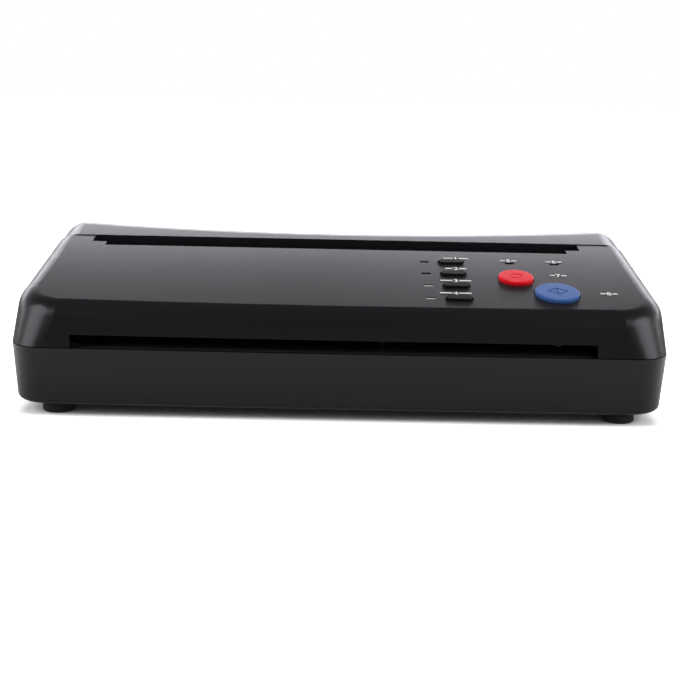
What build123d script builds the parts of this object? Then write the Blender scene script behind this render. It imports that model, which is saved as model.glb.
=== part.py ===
"""Thermal stencil copier: a flat desk machine that scans a drawing and burns it into stencil paper.

Millimetres. The origin is the bottom centre of the whole machine, +X to its right seen from the
front, +Y to its rear and +Z up. Places along the depth are given as a distance from the front
face, and fd() turns such a distance into Y.
"""
from build123d import *
from math import acos, asin, atan2, cos, degrees, hypot, pi, radians, sin, sqrt, tan
import os

# ---------------------------------------------------------------- driving dimensions
# case
WIDTH = 275.0            # over the seam, the widest line
DEPTH = 168.0
WALL = 2.5
SEAM_Z = 29.2            # desk to the top edge of the lower case
SEAM_GAP = 0.4
CORNER_R = 16.0          # front corners in plan
REAR_CORNER_R = 12.0
FRONT_BULGE = 0.9        # the front face bows forward this much at the seam
CASE_DRAFT = 1.1         # the lower case narrows this much towards its floor
CASE_EDGE_R = 2.2
FLOOR_EDGE_R = 1.0       # same, inside

# feet
FOOT_HEIGHT = 5.0
FOOT_R = 7.0
FOOT_X = 118.4
FOOT_D = 13.0
REAR_FOOT_X = 124.0
REAR_FOOT_D = 153.0
FOOT_PEG_R = 2.5
FOOT_HEAD_R = 3.6
FOOT_HEAD = 1.7
FOOT_CLEARANCE = 0.05

# upper cover
TOP_SLOPE = 12.6         # degrees, rising to the rear
CREASE_Z = 45.9          # height of the top plane above the front face
COVER_LEAN = 2.2         # the front leans back between the seam and the crease
SIDE_LEAN = 0.7          # same, of the two sides
CREASE_BULGE = 4.7
CREASE_CORNER_R = 24.0   # the front corners grow rounder towards the crease
SHOULDER_R = 9.0         # rounding of the top edge, ahead of the stencil slot
HOOD_R = 11.0            # same, behind the stencil slot
STEP_RISE = 0.3          # the hood behind the stencil slot stands higher
CREST_D = 91.5           # middle of the curved crest
RAMP_REAR_Z = 47.0       # top of the rear wall
DISH_SAG = 3.8           # the rear ramp is dished over its width
DISH_WIDTH = 230.0

# paper path, which lies left of the middle to leave room for the drive
PATH_X = -2.5
SLOT_WIDTH = 215.6       # takes A4 paper
PAPER_WIDTH = 210.0
ENTRY_HEIGHT = 5.6       # front slot
STENCIL_D = 71.8         # front edge of the top slot
STENCIL_STEP = 4.2       # depth of its narrower front part
STENCIL_DEPTH = 12.0
STENCIL_WIDE = 229.0     # its rear part is wider
CHUTE_WALL = 1.6
CHUTE_Z = 50.0
EXIT_Z = 19.0            # lower edge of the rear opening
EXIT_TOP_Z = 40.0

# hinge of the cover
HINGE_D = 160.0
HINGE_Z = 40.0
HINGE_X = 114.5          # middle of each ear on the lower case
HINGE_EAR = 5.0
HINGE_R = 5.0
PIN_R = 2.0
PIN_CLEARANCE = 0.06

# control panel, in the plane of the sloping top: x, and s up the slope
PANEL_GAP = 0.45
STOP_X, STOP_S, STOP_R = 76.7, 41.5, 7.65
COPY_X, COPY_S, COPY_R = 92.0, 25.3, 9.4
BUTTON_RISE = 1.5
BUTTON_TRAVEL = 1.0
KEY_X = 49.7
KEY_FIRST_S = 18.4
KEY_PITCH = 13.8
KEY_COUNT = 4
KEY_LENGTH = 12.0
KEY_WIDTH = 4.2
KEY_RISE = 0.9
KEY_TRAVEL = 0.6
LAMP_X = 37.7
LAMP_LENGTH = 4.2
LAMP_WIDTH = 1.9
STATUS_XS = (76.4, 96.8)
FLANGE = 1.5             # retaining rim below the panel
FLANGE_THICK = 1.2
BOARD_DROP = 10.0        # panel surface to the key board
BOARD_THICK = 1.2
SWITCH_SIZE = 6.0
SWITCH_HEIGHT = 3.5
PLUNGER_R = 1.7
PLUNGER_HEIGHT = 0.5

# rollers and drive
SHAFT_R = 3.0
RUN_CLEARANCE = 0.04
DOC_D, DOC_Z, DOC_R = 52.0, 25.0, 6.0
PLATEN_D, PLATEN_Z, PLATEN_R = 96.0, 36.0, 8.0
PAPER_GAP = 0.3          # roller to glass, and roller to thermal head
MOTOR_D, MOTOR_Z, MOTOR_R = 132.0, 28.0, 17.5
MOTOR_LENGTH = 12.5
MODULE = 0.8
DOC_TEETH = 24
PLATEN_TEETH = 32
IDLER_TEETH = 30
SMALL_TEETH = 16
BIG_TEETH = 40
PINION_TEETH = 12
PRESSURE_ANGLE = 20.0
BACKLASH = 0.12          # taken off each tooth
ADDENDUM = 0.9           # in modules
DEDENDUM = 1.25
GEAR_WIDTH = 3.0
BIG_WIDTH = 2.5
GEAR_GAP = 0.5
HUB_R = 4.6
STUD_R = 2.0

# frames and sheet metal
FRAME_X = 109.5          # inner face, from the middle of the paper path
SHEET = 1.2
BUSH_R = 5.0
BUSH_FLANGE_R = 5.9
BOSS_HEIGHT = 2.0
BOSS_R = 3.2
SCREW_R = 1.2
SCREW_HEAD_R = 2.6
SCREW_HEAD = 1.6
SCREW_SLACK = 0.1

# ---------------------------------------------------------------- derived places
FRONT_Y = -DEPTH / 2
REAR_Y = DEPTH / 2
SLOPE = radians(TOP_SLOPE)
FLOOR_Z = FOOT_HEIGHT + WALL
COVER_Z = SEAM_Z + SEAM_GAP
FRAME_LEFT = PATH_X - FRAME_X - SHEET / 2
FRAME_RIGHT = PATH_X + FRAME_X + SHEET / 2
GEAR_X = FRAME_RIGHT + SHEET / 2 + 3.3
BIG_X = GEAR_X + GEAR_WIDTH + GEAR_GAP
PLATE_X = BIG_X + BIG_WIDTH + 0.8 + SHEET / 2
FOOT_PLACES = [(side * x, d) for x, d in ((FOOT_X, FOOT_D), (REAR_FOOT_X, REAR_FOOT_D)) for side in (-1, 1)]
KEY_PLACES = [KEY_FIRST_S + KEY_PITCH * i for i in range(KEY_COUNT)]
LAMP_PLACES = [(LAMP_X, s) for s in KEY_PLACES] + [(x, KEY_PLACES[-1]) for x in STATUS_XS]


def fd(d):
    """Y of a place d behind the front face."""
    return FRONT_Y + d


def top_z(d, drop=0.0):
    """Height of the sloping top at d behind the front face, drop below its surface."""
    return CREASE_Z + d * tan(SLOPE) - drop / cos(SLOPE)


PANEL = Plane(origin=(0, fd(0), CREASE_Z), x_dir=(1, 0, 0), z_dir=(0, -sin(SLOPE), cos(SLOPE)))


def finish(piece, node):
    """Labels a finished piece and writes its file."""
    piece.part.label = node
    export_step(piece.part, f"parts/{node}.step")


# ---------------------------------------------------------------- case forms
def outline(z, inset, lean, side_lean, bulge, corner_r):
    """Plan outline at height z: bowed front, straight sides, upright rear, rounded corners."""
    half = WIDTH / 2 - side_lean - inset
    front = FRONT_Y + lean + inset
    rear = REAR_Y - inset
    with BuildSketch(Plane.XY.offset(z)) as plan:
        with BuildLine():
            ThreePointArc((-half, front + bulge), (0, front), (half, front + bulge))
            Polyline((half, front + bulge), (half, rear), (-half, rear), (-half, front + bulge))
        make_face()
        fillet(plan.vertices().group_by(Axis.Y)[-1], REAR_CORNER_R - inset)
        fillet([v for v in plan.vertices() if v.Y < FRONT_Y / 2], corner_r - inset)
    return plan.sketch


def cover_outline(z, inset):
    """Outline of the cover, whose front leans back and bows more towards the top."""
    rise = (z - SEAM_Z) / (CREASE_Z - SEAM_Z)
    bulge = FRONT_BULGE + (CREASE_BULGE - FRONT_BULGE) * rise
    corner_r = CORNER_R + (CREASE_CORNER_R - CORNER_R) * rise
    return outline(z, inset, COVER_LEAN * rise, SIDE_LEAN * rise, bulge, corner_r)


def case_outline(z, inset):
    """Outline of the lower case, drawn in towards its floor."""
    draft = CASE_DRAFT * (SEAM_Z - z) / (SEAM_Z - FOOT_HEIGHT)
    return outline(z, inset, draft, draft, FRONT_BULGE, CORNER_R)


def prism(points, half=WIDTH):
    """A side profile in the YZ plane, run across the machine."""
    with BuildPart() as run:
        with BuildSketch(Plane.YZ.offset(-half)):
            with BuildLine():
                Polyline(*points, close=True)
            make_face()
        extrude(amount=2 * half)
    return run.part


FAR = 2 * DEPTH          # reach of the cutting tools, past every face
COVER_TOP = 100.0        # the cover's blank is lofted this high and cut down


def cover_blank(inset):
    """The cover's four walls, before its top is cut."""
    with BuildPart() as blank:
        add(cover_outline(SEAM_Z - WALL, inset))
        add(cover_outline(COVER_TOP, inset))
        loft(ruled=True)
    return blank.part


def front_form(inset):
    """The part of the cover under the control panel, with its soft crease and shoulders."""
    cut = prism([
        (fd(-FAR), top_z(-FAR, inset)), (fd(DEPTH * 0.65), top_z(DEPTH * 0.65, inset)),
        (fd(DEPTH * 0.65), 0), (fd(FAR), 0), (fd(FAR), FAR), (fd(-FAR), FAR),
    ])
    with BuildPart() as form:
        add(cover_blank(inset))
        add(cut, mode=Mode.SUBTRACT)
        top = form.faces().filter_by(lambda face: face.normal_at().Z > 0.9).sort_by(Axis.Z)[-1]
        fillet([e for e in top.edges() if e.center().Y < fd(DEPTH * 0.64)], SHOULDER_R - inset)
    return form.part


def rear_form(inset):
    """The raised hood behind the stencil slot, with its crest and dished rear ramp."""
    crest_z = top_z(CREST_D) + STEP_RISE
    fall = atan2(crest_z - RAMP_REAR_Z, DEPTH - CREST_D)
    across = Plane(origin=(0, fd(CREST_D), crest_z), x_dir=(1, 0, 0), z_dir=(0, -cos(fall), sin(fall)))
    sag = DISH_SAG * (WIDTH / DISH_WIDTH) ** 2 * 1.2
    half = WIDTH / 2 * sqrt(1.2)
    raised = prism([
        (fd(-FAR), top_z(-FAR, inset) + STEP_RISE), (fd(FAR), top_z(FAR, inset) + STEP_RISE),
        (fd(FAR), 2 * FAR), (fd(-FAR), 2 * FAR),
    ])
    front = STENCIL_D + STENCIL_DEPTH + inset
    ahead = prism([(fd(-FAR), 0), (fd(front), 0), (fd(front), FAR), (fd(-FAR), FAR)])
    with BuildPart() as form:
        add(cover_blank(inset))
        add(raised, mode=Mode.SUBTRACT)
        with BuildSketch(across):
            with BuildLine():
                ThreePointArc((-half, sag - inset), (0, -inset), (half, sag - inset))
                Polyline((half, sag - inset), (half, FAR), (-half, FAR), (-half, sag - inset))
            make_face()
        extrude(amount=DEPTH, both=True, mode=Mode.SUBTRACT)
        add(ahead, mode=Mode.SUBTRACT)
        rims = [
            e for e in form.edges()
            if e.center().Z > CREASE_Z - WALL
            and e.center().Y > fd(front) + 0.5
            and abs((e @ 1 - e @ 0).normalized().Z) < 0.9
        ]
        fillet(rims, HOOD_R - inset)
    return form.part


def cover_form(inset):
    """The closed outer form of the cover, or its hollow when inset by the wall."""
    join = STENCIL_D + STENCIL_DEPTH + inset
    behind = prism([(fd(join), 0), (fd(FAR), 0), (fd(FAR), FAR), (fd(join), FAR)])
    with BuildPart() as form:
        add(front_form(inset))
        add(behind, mode=Mode.SUBTRACT)
        add(rear_form(inset))
    return form.part


# ---------------------------------------------------------------- drive geometry
def centre_between(a, b, from_a, from_b, side):
    """(d, z) of an axle at given distances from two others; side picks above (1) or below (-1)."""
    span = hypot(b[0] - a[0], b[1] - a[1])
    along = (from_a ** 2 - from_b ** 2 + span ** 2) / (2 * span)
    off = side * sqrt(from_a ** 2 - along ** 2)
    ux, uz = (b[0] - a[0]) / span, (b[1] - a[1]) / span
    return (a[0] + along * ux - off * uz, a[1] + along * uz + off * ux)


def pitch_r(teeth):
    return MODULE * teeth / 2


def mesh_distance(teeth_a, teeth_b):
    return pitch_r(teeth_a) + pitch_r(teeth_b)


DOC = (DOC_D, DOC_Z)
PLATEN = (PLATEN_D, PLATEN_Z)
MOTOR = (MOTOR_D, MOTOR_Z)
IDLER = centre_between(
    DOC, PLATEN, mesh_distance(DOC_TEETH, IDLER_TEETH), mesh_distance(IDLER_TEETH, PLATEN_TEETH), -1
)
REDUCTION = centre_between(
    PLATEN, MOTOR, mesh_distance(PLATEN_TEETH, SMALL_TEETH), mesh_distance(BIG_TEETH, PINION_TEETH), 1
)


def next_phase(a, b, teeth_a, teeth_b, phase_a):
    """Angle of a tooth on gear b that puts a gap where gear a has a tooth."""
    toward = atan2(b[1] - a[1], b[0] - a[0])
    return toward + pi + pi / teeth_b - (phase_a - toward) * teeth_a / teeth_b


PLATEN_PHASE = 0.0
IDLER_PHASE = next_phase(PLATEN, IDLER, PLATEN_TEETH, IDLER_TEETH, PLATEN_PHASE)
DOC_PHASE = next_phase(IDLER, DOC, IDLER_TEETH, DOC_TEETH, IDLER_PHASE)
SMALL_PHASE = next_phase(PLATEN, REDUCTION, PLATEN_TEETH, SMALL_TEETH, PLATEN_PHASE)
PINION_PHASE = next_phase(REDUCTION, MOTOR, BIG_TEETH, PINION_TEETH, SMALL_PHASE)


def involute(angle):
    return tan(angle) - angle


def half_tooth(r, teeth):
    """Half the angle that a tooth takes up at radius r."""
    pitch = pitch_r(teeth)
    base = pitch * cos(radians(PRESSURE_ANGLE))
    at_pitch = (pi * MODULE / 2 - BACKLASH) / (2 * pitch)
    here = acos(base / r) if r > base else 0.0
    return at_pitch + involute(radians(PRESSURE_ANGLE)) - involute(here)


def tooth_points(teeth, phase):
    """Points of a spur gear's outline about its own centre: root, pitch line and tip of each flank."""
    pitch = pitch_r(teeth)
    radii = [pitch - DEDENDUM * MODULE, pitch, pitch + ADDENDUM * MODULE]
    points = []
    for i in range(teeth):
        middle = phase + 2 * pi * i / teeth
        flank = [(r, half_tooth(r, teeth)) for r in radii]
        for r, half in flank:
            points.append((r * cos(middle - half), r * sin(middle - half)))
        for r, half in reversed(flank):
            points.append((r * cos(middle + half), r * sin(middle + half)))
    return points


def toothed(x, centre, teeth, phase, width):
    """A spur gear's toothed disc from x towards +X, about an axle at (d, z)."""
    with BuildPart() as wheel:
        with BuildSketch(Plane.YZ.offset(x)):
            with BuildLine():
                Polyline(*[(fd(centre[0]) + p, centre[1] + q) for p, q in tooth_points(teeth, phase)], close=True)
            make_face()
        extrude(amount=width)
    return wheel.part


def rod(x, centre, r, length):
    """A round bar along X that starts at x, about an axle at (d, z)."""
    with BuildPart() as bar:
        with BuildSketch(Plane.YZ.offset(x)):
            with Locations((fd(centre[0]), centre[1])):
                Circle(r)
        extrude(amount=length)
    return bar.part


# ---------------------------------------------------------------- lower case
def ear(x, points):
    """A hinge ear about x: round at the pin, with an arm given by its side profile."""
    with BuildPart() as body:
        with BuildSketch(Plane.YZ.offset(x - HINGE_EAR / 2)):
            with Locations((fd(HINGE_D), HINGE_Z)):
                Circle(HINGE_R)
            with BuildLine():
                Polyline(*[(fd(HINGE_D) + a, b) for a, b in points], close=True)
            make_face()
        extrude(amount=HINGE_EAR)
    return body.part


EAR_RISE = 16.0
EAR_LEAN = 12.0
EAR_POINTS = [
    (-HINGE_R, HINGE_Z + 1), (-2, HINGE_Z - 4.4), (-4.6, SEAM_Z), (-4.6, FLOOR_Z - 1), (-EAR_LEAN, FLOOR_Z - 1),
    (-EAR_LEAN, HINGE_Z - 9),
]
KNUCKLE_POINTS = [
    (-HINGE_R, HINGE_Z), (HINGE_R - 0.1, HINGE_Z), (HINGE_R - 0.1, HINGE_Z + EAR_RISE), (-EAR_LEAN, HINGE_Z + EAR_RISE),
]
KNUCKLE_X = HINGE_X + HINGE_EAR + 0.6
BUSH_PLACES = [(x, centre) for centre in (DOC, PLATEN) for x in (FRAME_LEFT, FRAME_RIGHT)]
FRAME_FOOT_DS = (46.0, 104.0)
FRAME_FOOT = 8.0         # width of the foot bent out of each frame
FRAME_FOOT_LENGTH = 12.0
BRACKET_FOOT_DS = (118.0, 146.0)
FRAME_BOSSES = [
    (side + way * (SHEET / 2 + FRAME_FOOT / 2), d)
    for side, way in ((FRAME_LEFT, -1), (FRAME_RIGHT, 1)) for d in FRAME_FOOT_DS
]
BRACKET_BOSSES = [(PLATE_X + SHEET / 2 + FRAME_FOOT / 2, d) for d in BRACKET_FOOT_DS]
MAIN_BOARD_X, MAIN_BOARD_D = -20.0, 116.0
MAIN_BOARD_SIZE = (120.0, 66.0)
POWER_BOARD_X, POWER_BOARD_D = -124.0, 73.0
POWER_BOARD_SIZE = (18.0, 74.0)
BOARD_INSET = 4.0
BOARD_BOSS_HEIGHT = 4.0


def board_corners(x, d, size):
    """Centres of a board's fixing bosses, one near each corner."""
    return [
        (x + sx * (size[0] / 2 - BOARD_INSET), d + sy * (size[1] / 2 - BOARD_INSET))
        for sx in (-1, 1) for sy in (-1, 1)
    ]


MAIN_BOSSES = board_corners(MAIN_BOARD_X, MAIN_BOARD_D, MAIN_BOARD_SIZE)
POWER_BOSSES = [
    (POWER_BOARD_X - 2, POWER_BOARD_D + side * (POWER_BOARD_SIZE[1] / 2 - BOARD_INSET)) for side in (-1, 1)
]
POWER_BOSS_HEIGHT = 8.0
TONGUE = 1.2             # lip of the lower case inside the cover
TONGUE_RISE = 1.6
TONGUE_GAP = 0.7
TONGUE_ROOT = 5.0
NICHE_X = -(WIDTH / 2 - 2.4)  # flat niche in the left side for the inlet and the power switch
NICHE_D = 132.5
NICHE_Z = 18.2
NICHE_SIZE = (42.0, 18.4)
BEZEL = 1.4              # the inlet and the switch stand this proud of the niche
INLET_D = 140.5
INLET_BEZEL = (20.0, 13.0)
INLET_HOLE = (17.0, 10.0)
SWITCH_D = 119.0
SWITCH_BEZEL = (10.5, 15.0)
SWITCH_HOLE = (9.0, 13.0)
HOLE_GAP = 0.15
SIDE_PARTS = ((INLET_D, INLET_HOLE), (SWITCH_D, SWITCH_HOLE))
VENT_LENGTH, VENT_WIDTH, VENT_PITCH, VENTS = 14.0, 2.4, 6.0, 9
CATCH_X, CATCH_D = 126.0, 22.5
CLIP_Z = 20.0


def lower_case():
    """Moulded tray with the paper exit, hinge ears, board bosses and seats for inlet and switch."""
    with BuildPart() as tray:
        add(case_outline(FOOT_HEIGHT, 0))
        add(case_outline(SEAM_Z, 0))
        loft(ruled=True)
        fillet(tray.faces().sort_by(Axis.Z)[0].edges(), CASE_EDGE_R)
    with BuildPart() as hollow:
        add(case_outline(FLOOR_Z, WALL))
        add(case_outline(SEAM_Z + WALL, WALL))
        loft(ruled=True)
        fillet(hollow.faces().sort_by(Axis.Z)[0].edges(), FLOOR_EDGE_R)
    with BuildPart() as lip:
        add(case_outline(SEAM_Z, WALL - TONGUE_GAP))
        extrude(amount=-TONGUE_ROOT)
        add(case_outline(SEAM_Z, WALL + TONGUE_GAP))
        extrude(amount=TONGUE_RISE)
        add(case_outline(SEAM_Z, WALL + TONGUE_GAP + TONGUE))
        extrude(amount=2 * TONGUE_ROOT, both=True, mode=Mode.SUBTRACT)
        behind = (fd(HINGE_D - 2 * EAR_LEAN), fd(FAR))
        add(prism([(behind[0], 0), (behind[1], 0), (behind[1], FAR), (behind[0], FAR)]), mode=Mode.SUBTRACT)
        with BuildSketch(Plane.XY.offset(SEAM_Z - TONGUE_ROOT)):
            with Locations((PATH_X, FRONT_Y)):
                Rectangle(SLOT_WIDTH + 2 * WALL, 4 * WALL)
        extrude(amount=FAR, mode=Mode.SUBTRACT)
    with BuildPart() as case:
        add(tray.part)
        add(hollow.part, mode=Mode.SUBTRACT)
        add(lip.part)
        # niche of the inlet and the power switch, with a thicker wall behind it
        with BuildSketch(Plane.YZ.offset(NICHE_X)):
            with Locations((fd(NICHE_D), (FLOOR_Z + SEAM_Z - 1.5) / 2)):
                Rectangle(NICHE_SIZE[0] + 2, SEAM_Z - 0.5 - FLOOR_Z)
        extrude(amount=WALL)
        with BuildSketch(Plane.YZ.offset(NICHE_X)):
            with Locations((fd(NICHE_D), NICHE_Z)):
                RectangleRounded(*NICHE_SIZE, 2.0)
        extrude(amount=-2 * WALL, mode=Mode.SUBTRACT)
        for d, hole in SIDE_PARTS:
            with BuildSketch(Plane.YZ.offset(NICHE_X)):
                with Locations((fd(d), NICHE_Z)):
                    RectangleRounded(hole[0] + 2 * HOLE_GAP, hole[1] + 2 * HOLE_GAP, 1.0)
            extrude(amount=2 * WALL, mode=Mode.SUBTRACT)
        # rear opening of the paper path
        with BuildSketch(Plane.XZ.offset(-REAR_Y)):
            with Locations((PATH_X, SEAM_Z)):
                Rectangle(SLOT_WIDTH, 2 * (SEAM_Z - EXIT_Z))
        extrude(amount=2 * WALL, mode=Mode.SUBTRACT)
        for side in (-1, 1):
            add(ear(side * HINGE_X, EAR_POINTS))
        with BuildSketch(Plane.YZ.offset(-WIDTH)):
            with Locations((fd(HINGE_D), HINGE_Z)):
                Circle(PIN_R)
        extrude(amount=2 * WIDTH, mode=Mode.SUBTRACT)
        # bosses on the floor, with screw holes
        for places, height in (
            (FRAME_BOSSES + BRACKET_BOSSES, BOSS_HEIGHT), (MAIN_BOSSES, BOARD_BOSS_HEIGHT),
            (POWER_BOSSES, POWER_BOSS_HEIGHT),
        ):
            with BuildSketch(Plane.XY.offset(FLOOR_Z - 0.2)):
                with Locations(*[(x, fd(d)) for x, d in places]):
                    Circle(BOSS_R)
            extrude(amount=height + 0.2)
            with BuildSketch(Plane.XY.offset(FLOOR_Z - 1)):
                with Locations(*[(x, fd(d)) for x, d in places]):
                    Circle(SCREW_R)
            extrude(amount=height + 1, mode=Mode.SUBTRACT)
        # seats of the cover's catches
        with BuildSketch(Plane.XY.offset(FLOOR_Z - 0.2)):
            with Locations(*[(side * CATCH_X, fd(CATCH_D)) for side in (-1, 1)]):
                Rectangle(CLIP_WIDTH, CLIP_DEPTH)
        extrude(amount=CLIP_Z - CLIP_HEIGHT - FLOOR_Z + 0.2)
        # peg holes of the feet, and the air slots under the power board
        with Locations(*[(x, fd(d), FOOT_HEIGHT) for x, d in FOOT_PLACES]):
            Cylinder(FOOT_PEG_R + FOOT_CLEARANCE, 4 * WALL, mode=Mode.SUBTRACT)
        with BuildSketch(Plane.XY):
            with Locations((POWER_BOARD_X, fd(POWER_BOARD_D))):
                with GridLocations(1, VENT_PITCH, 1, VENTS):
                    SlotOverall(VENT_LENGTH, VENT_WIDTH)
        extrude(amount=FLOOR_Z + 0.1, mode=Mode.SUBTRACT)
    finish(case, "lower_case")


CLIP_WIDTH, CLIP_DEPTH, CLIP_HEIGHT = 9.0, 8.0, 6.0


def rubber_feet():
    """Four push-in feet, each with a peg through the floor and a bead that holds it."""
    with BuildPart() as feet:
        with BuildSketch(Plane.XZ) as half:
            with BuildLine():
                Polyline(
                    (0, 0), (FOOT_R - 0.6, 0), (FOOT_R, 0.6), (FOOT_R - 0.3, FOOT_HEIGHT),
                    (FOOT_PEG_R, FOOT_HEIGHT), (FOOT_PEG_R, FLOOR_Z + FOOT_CLEARANCE),
                    (FOOT_HEAD_R, FLOOR_Z + FOOT_CLEARANCE), (FOOT_PEG_R * 0.7, FLOOR_Z + FOOT_HEAD),
                    (0, FLOOR_Z + FOOT_HEAD), close=True,
                )
            make_face()
        foot = revolve(half.sketch, axis=Axis.Z, mode=Mode.PRIVATE)
        for x, d in FOOT_PLACES:
            add(Pos(x, fd(d), 0) * foot)
    finish(feet, "rubber_feet")


# ---------------------------------------------------------------- upper cover
HEAD_BOSSES = [(PATH_X + x, 97.0) for x in (-88.0, 0.0, 88.0)]
HEAD_TOP_Z = 56.7        # upper face of the thermal head's bracket
GUIDE_BOSSES = [(PATH_X + x, 20.0) for x in (-92.0, -40.0, 28.0)] + [(90.0, 8.2)]
GUIDE_BOSS_R = 2.6
GUIDE_TOP_Z = 36.2
SCANNER_D = DOC_D
SCANNER_LENGTH = 220.0
SCANNER_DEPTH = 18.0
SCANNER_BOTTOM_Z = DOC_Z + DOC_R + PAPER_GAP
SCANNER_TOP_Z = 43.0
SCANNER_BOSSES = [(PATH_X + x, SCANNER_D) for x in (-75.0, 5.0)]
SPRING_RISE = 3.4
HOOK_GAP = 1.5
HOOK_THICK = 1.8
HOOK_WIDTH = 8.0
HOOK_Z = 33.0
HOOK_LEDGE = 2.0
PANEL_BOSSES = [(33.5, 25.3), (33.5, 65.0), (105.0, 36.0), (105.0, 65.0)]
PANEL_BOSS_R = 2.4
SCREW_LENGTH = 4.5
EAR_THICK = 1.6
BLADE_THICK, BLADE_WIDTH = 2.0, 6.0
CATCH_BEAD_R, CATCH_BEAD_Z = 1.4, 18.0
LEVER_WINDOW = 8.0
SWING_R = HINGE_Z - SEAM_Z - 0.3   # the cover's rear stays inside this radius as it swings
HINGE_RELIEF = [
    (fd(HINGE_D + sqrt(SWING_R ** 2 - (HINGE_Z - COVER_Z) ** 2)), COVER_Z),
    (fd(DEPTH), HINGE_Z - sqrt(SWING_R ** 2 - (DEPTH - HINGE_D) ** 2)),
    (fd(DEPTH + WALL), HINGE_Z - sqrt(SWING_R ** 2 - (DEPTH - HINGE_D) ** 2)),
    (fd(DEPTH + WALL), 0), (fd(HINGE_D + sqrt(SWING_R ** 2 - (HINGE_Z - COVER_Z) ** 2)), 0),
]
STENCIL_LEVER_X, STENCIL_LEVER_D, STENCIL_LEVER_Z = -85.0, 65.5, 53.0
LEVER_PIN_R = 1.3
LEVER_WIDTH = 2.4
LEVER_SIDE_GAP = 0.3


def hang(inside, shape):
    """What hangs from the cover's underside: a tall shape, trimmed to the form inside its wall."""
    with BuildPart() as hung:
        add(shape)
        add(inside, mode=Mode.INTERSECT)
    return hung.part


def posts(places, r, bottom_z):
    """Round posts at (x, d), from one height up through the cover."""
    with BuildPart() as tall:
        with BuildSketch(Plane.XY.offset(bottom_z)):
            with Locations(*[(x, fd(d)) for x, d in places]):
                Circle(r)
        extrude(amount=COVER_TOP - bottom_z)
    return tall.part


def block(x, d, z, size):
    """A box with its middle at x and d, standing on z."""
    with BuildPart() as body:
        with BuildSketch(Plane.XY.offset(z)):
            with Locations((x, fd(d))):
                Rectangle(size[0], size[1])
        extrude(amount=size[2])
    return body.part


def chute():
    """Rectangular tube below the stencil slot."""
    middle = fd(STENCIL_D + STENCIL_DEPTH / 2)
    with BuildPart() as tube:
        with BuildSketch(Plane.XY.offset(CHUTE_Z)):
            with Locations((PATH_X, middle)):
                Rectangle(STENCIL_WIDE + 2 * CHUTE_WALL, STENCIL_DEPTH + 2 * CHUTE_WALL)
                Rectangle(STENCIL_WIDE, STENCIL_DEPTH, mode=Mode.SUBTRACT)
        extrude(amount=COVER_TOP - CHUTE_Z)
    return tube.part


def stencil_lever_ears():
    """Two ears that carry the pins of the stencil lever."""
    with BuildPart() as ears:
        for side in (-1, 1):
            x = STENCIL_LEVER_X + side * (LEVER_WIDTH / 2 + LEVER_SIDE_GAP + EAR_THICK / 2)
            add(block(x, STENCIL_LEVER_D, STENCIL_LEVER_Z - 2.6, (EAR_THICK, 5.2, COVER_TOP)))
    return ears.part


def scanner_hooks():
    """A hook at each end of the scanner, with a ledge under its lug."""
    with BuildPart() as hooks:
        for side in (-1, 1):
            face = PATH_X + side * (SCANNER_LENGTH / 2 + HOOK_GAP)
            add(block(face + side * HOOK_THICK / 2, SCANNER_D, HOOK_Z, (HOOK_THICK, HOOK_WIDTH, COVER_TOP)))
            add(block(face - side * HOOK_GAP / 2 + side * HOOK_THICK / 4, SCANNER_D, HOOK_Z,
                      (HOOK_GAP + HOOK_THICK / 2 - 0.3, HOOK_WIDTH, HOOK_LEDGE)))
    return hooks.part


def catch_blade(side):
    """Blade with a round bead that the lower case's spring clip grips."""
    with BuildPart() as blade:
        add(block(side * CATCH_X, CATCH_D, CATCH_BEAD_Z, (BLADE_THICK, BLADE_WIDTH, COVER_TOP)))
        with BuildSketch(Plane.XZ.offset(-fd(CATCH_D) - BLADE_WIDTH / 2)):
            with Locations((side * CATCH_X, CATCH_BEAD_Z)):
                Circle(CATCH_BEAD_R)
        extrude(amount=BLADE_WIDTH)
    return blade.part


def key_shape(s, grow):
    """Outline of the key at s up the slope, long with pointed ends, grown on every side."""
    long, wide = KEY_LENGTH / 2 + grow, KEY_WIDTH / 2 + grow
    nose = 0.7 * wide
    with BuildSketch() as flat:
        with BuildLine():
            Polyline(
                (KEY_X - long, s), (KEY_X - long + nose, s - wide), (KEY_X + long - nose, s - wide),
                (KEY_X + long, s), (KEY_X + long - nose, s + wide), (KEY_X - long + nose, s + wide), close=True,
            )
        make_face()
    return flat.sketch


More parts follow.
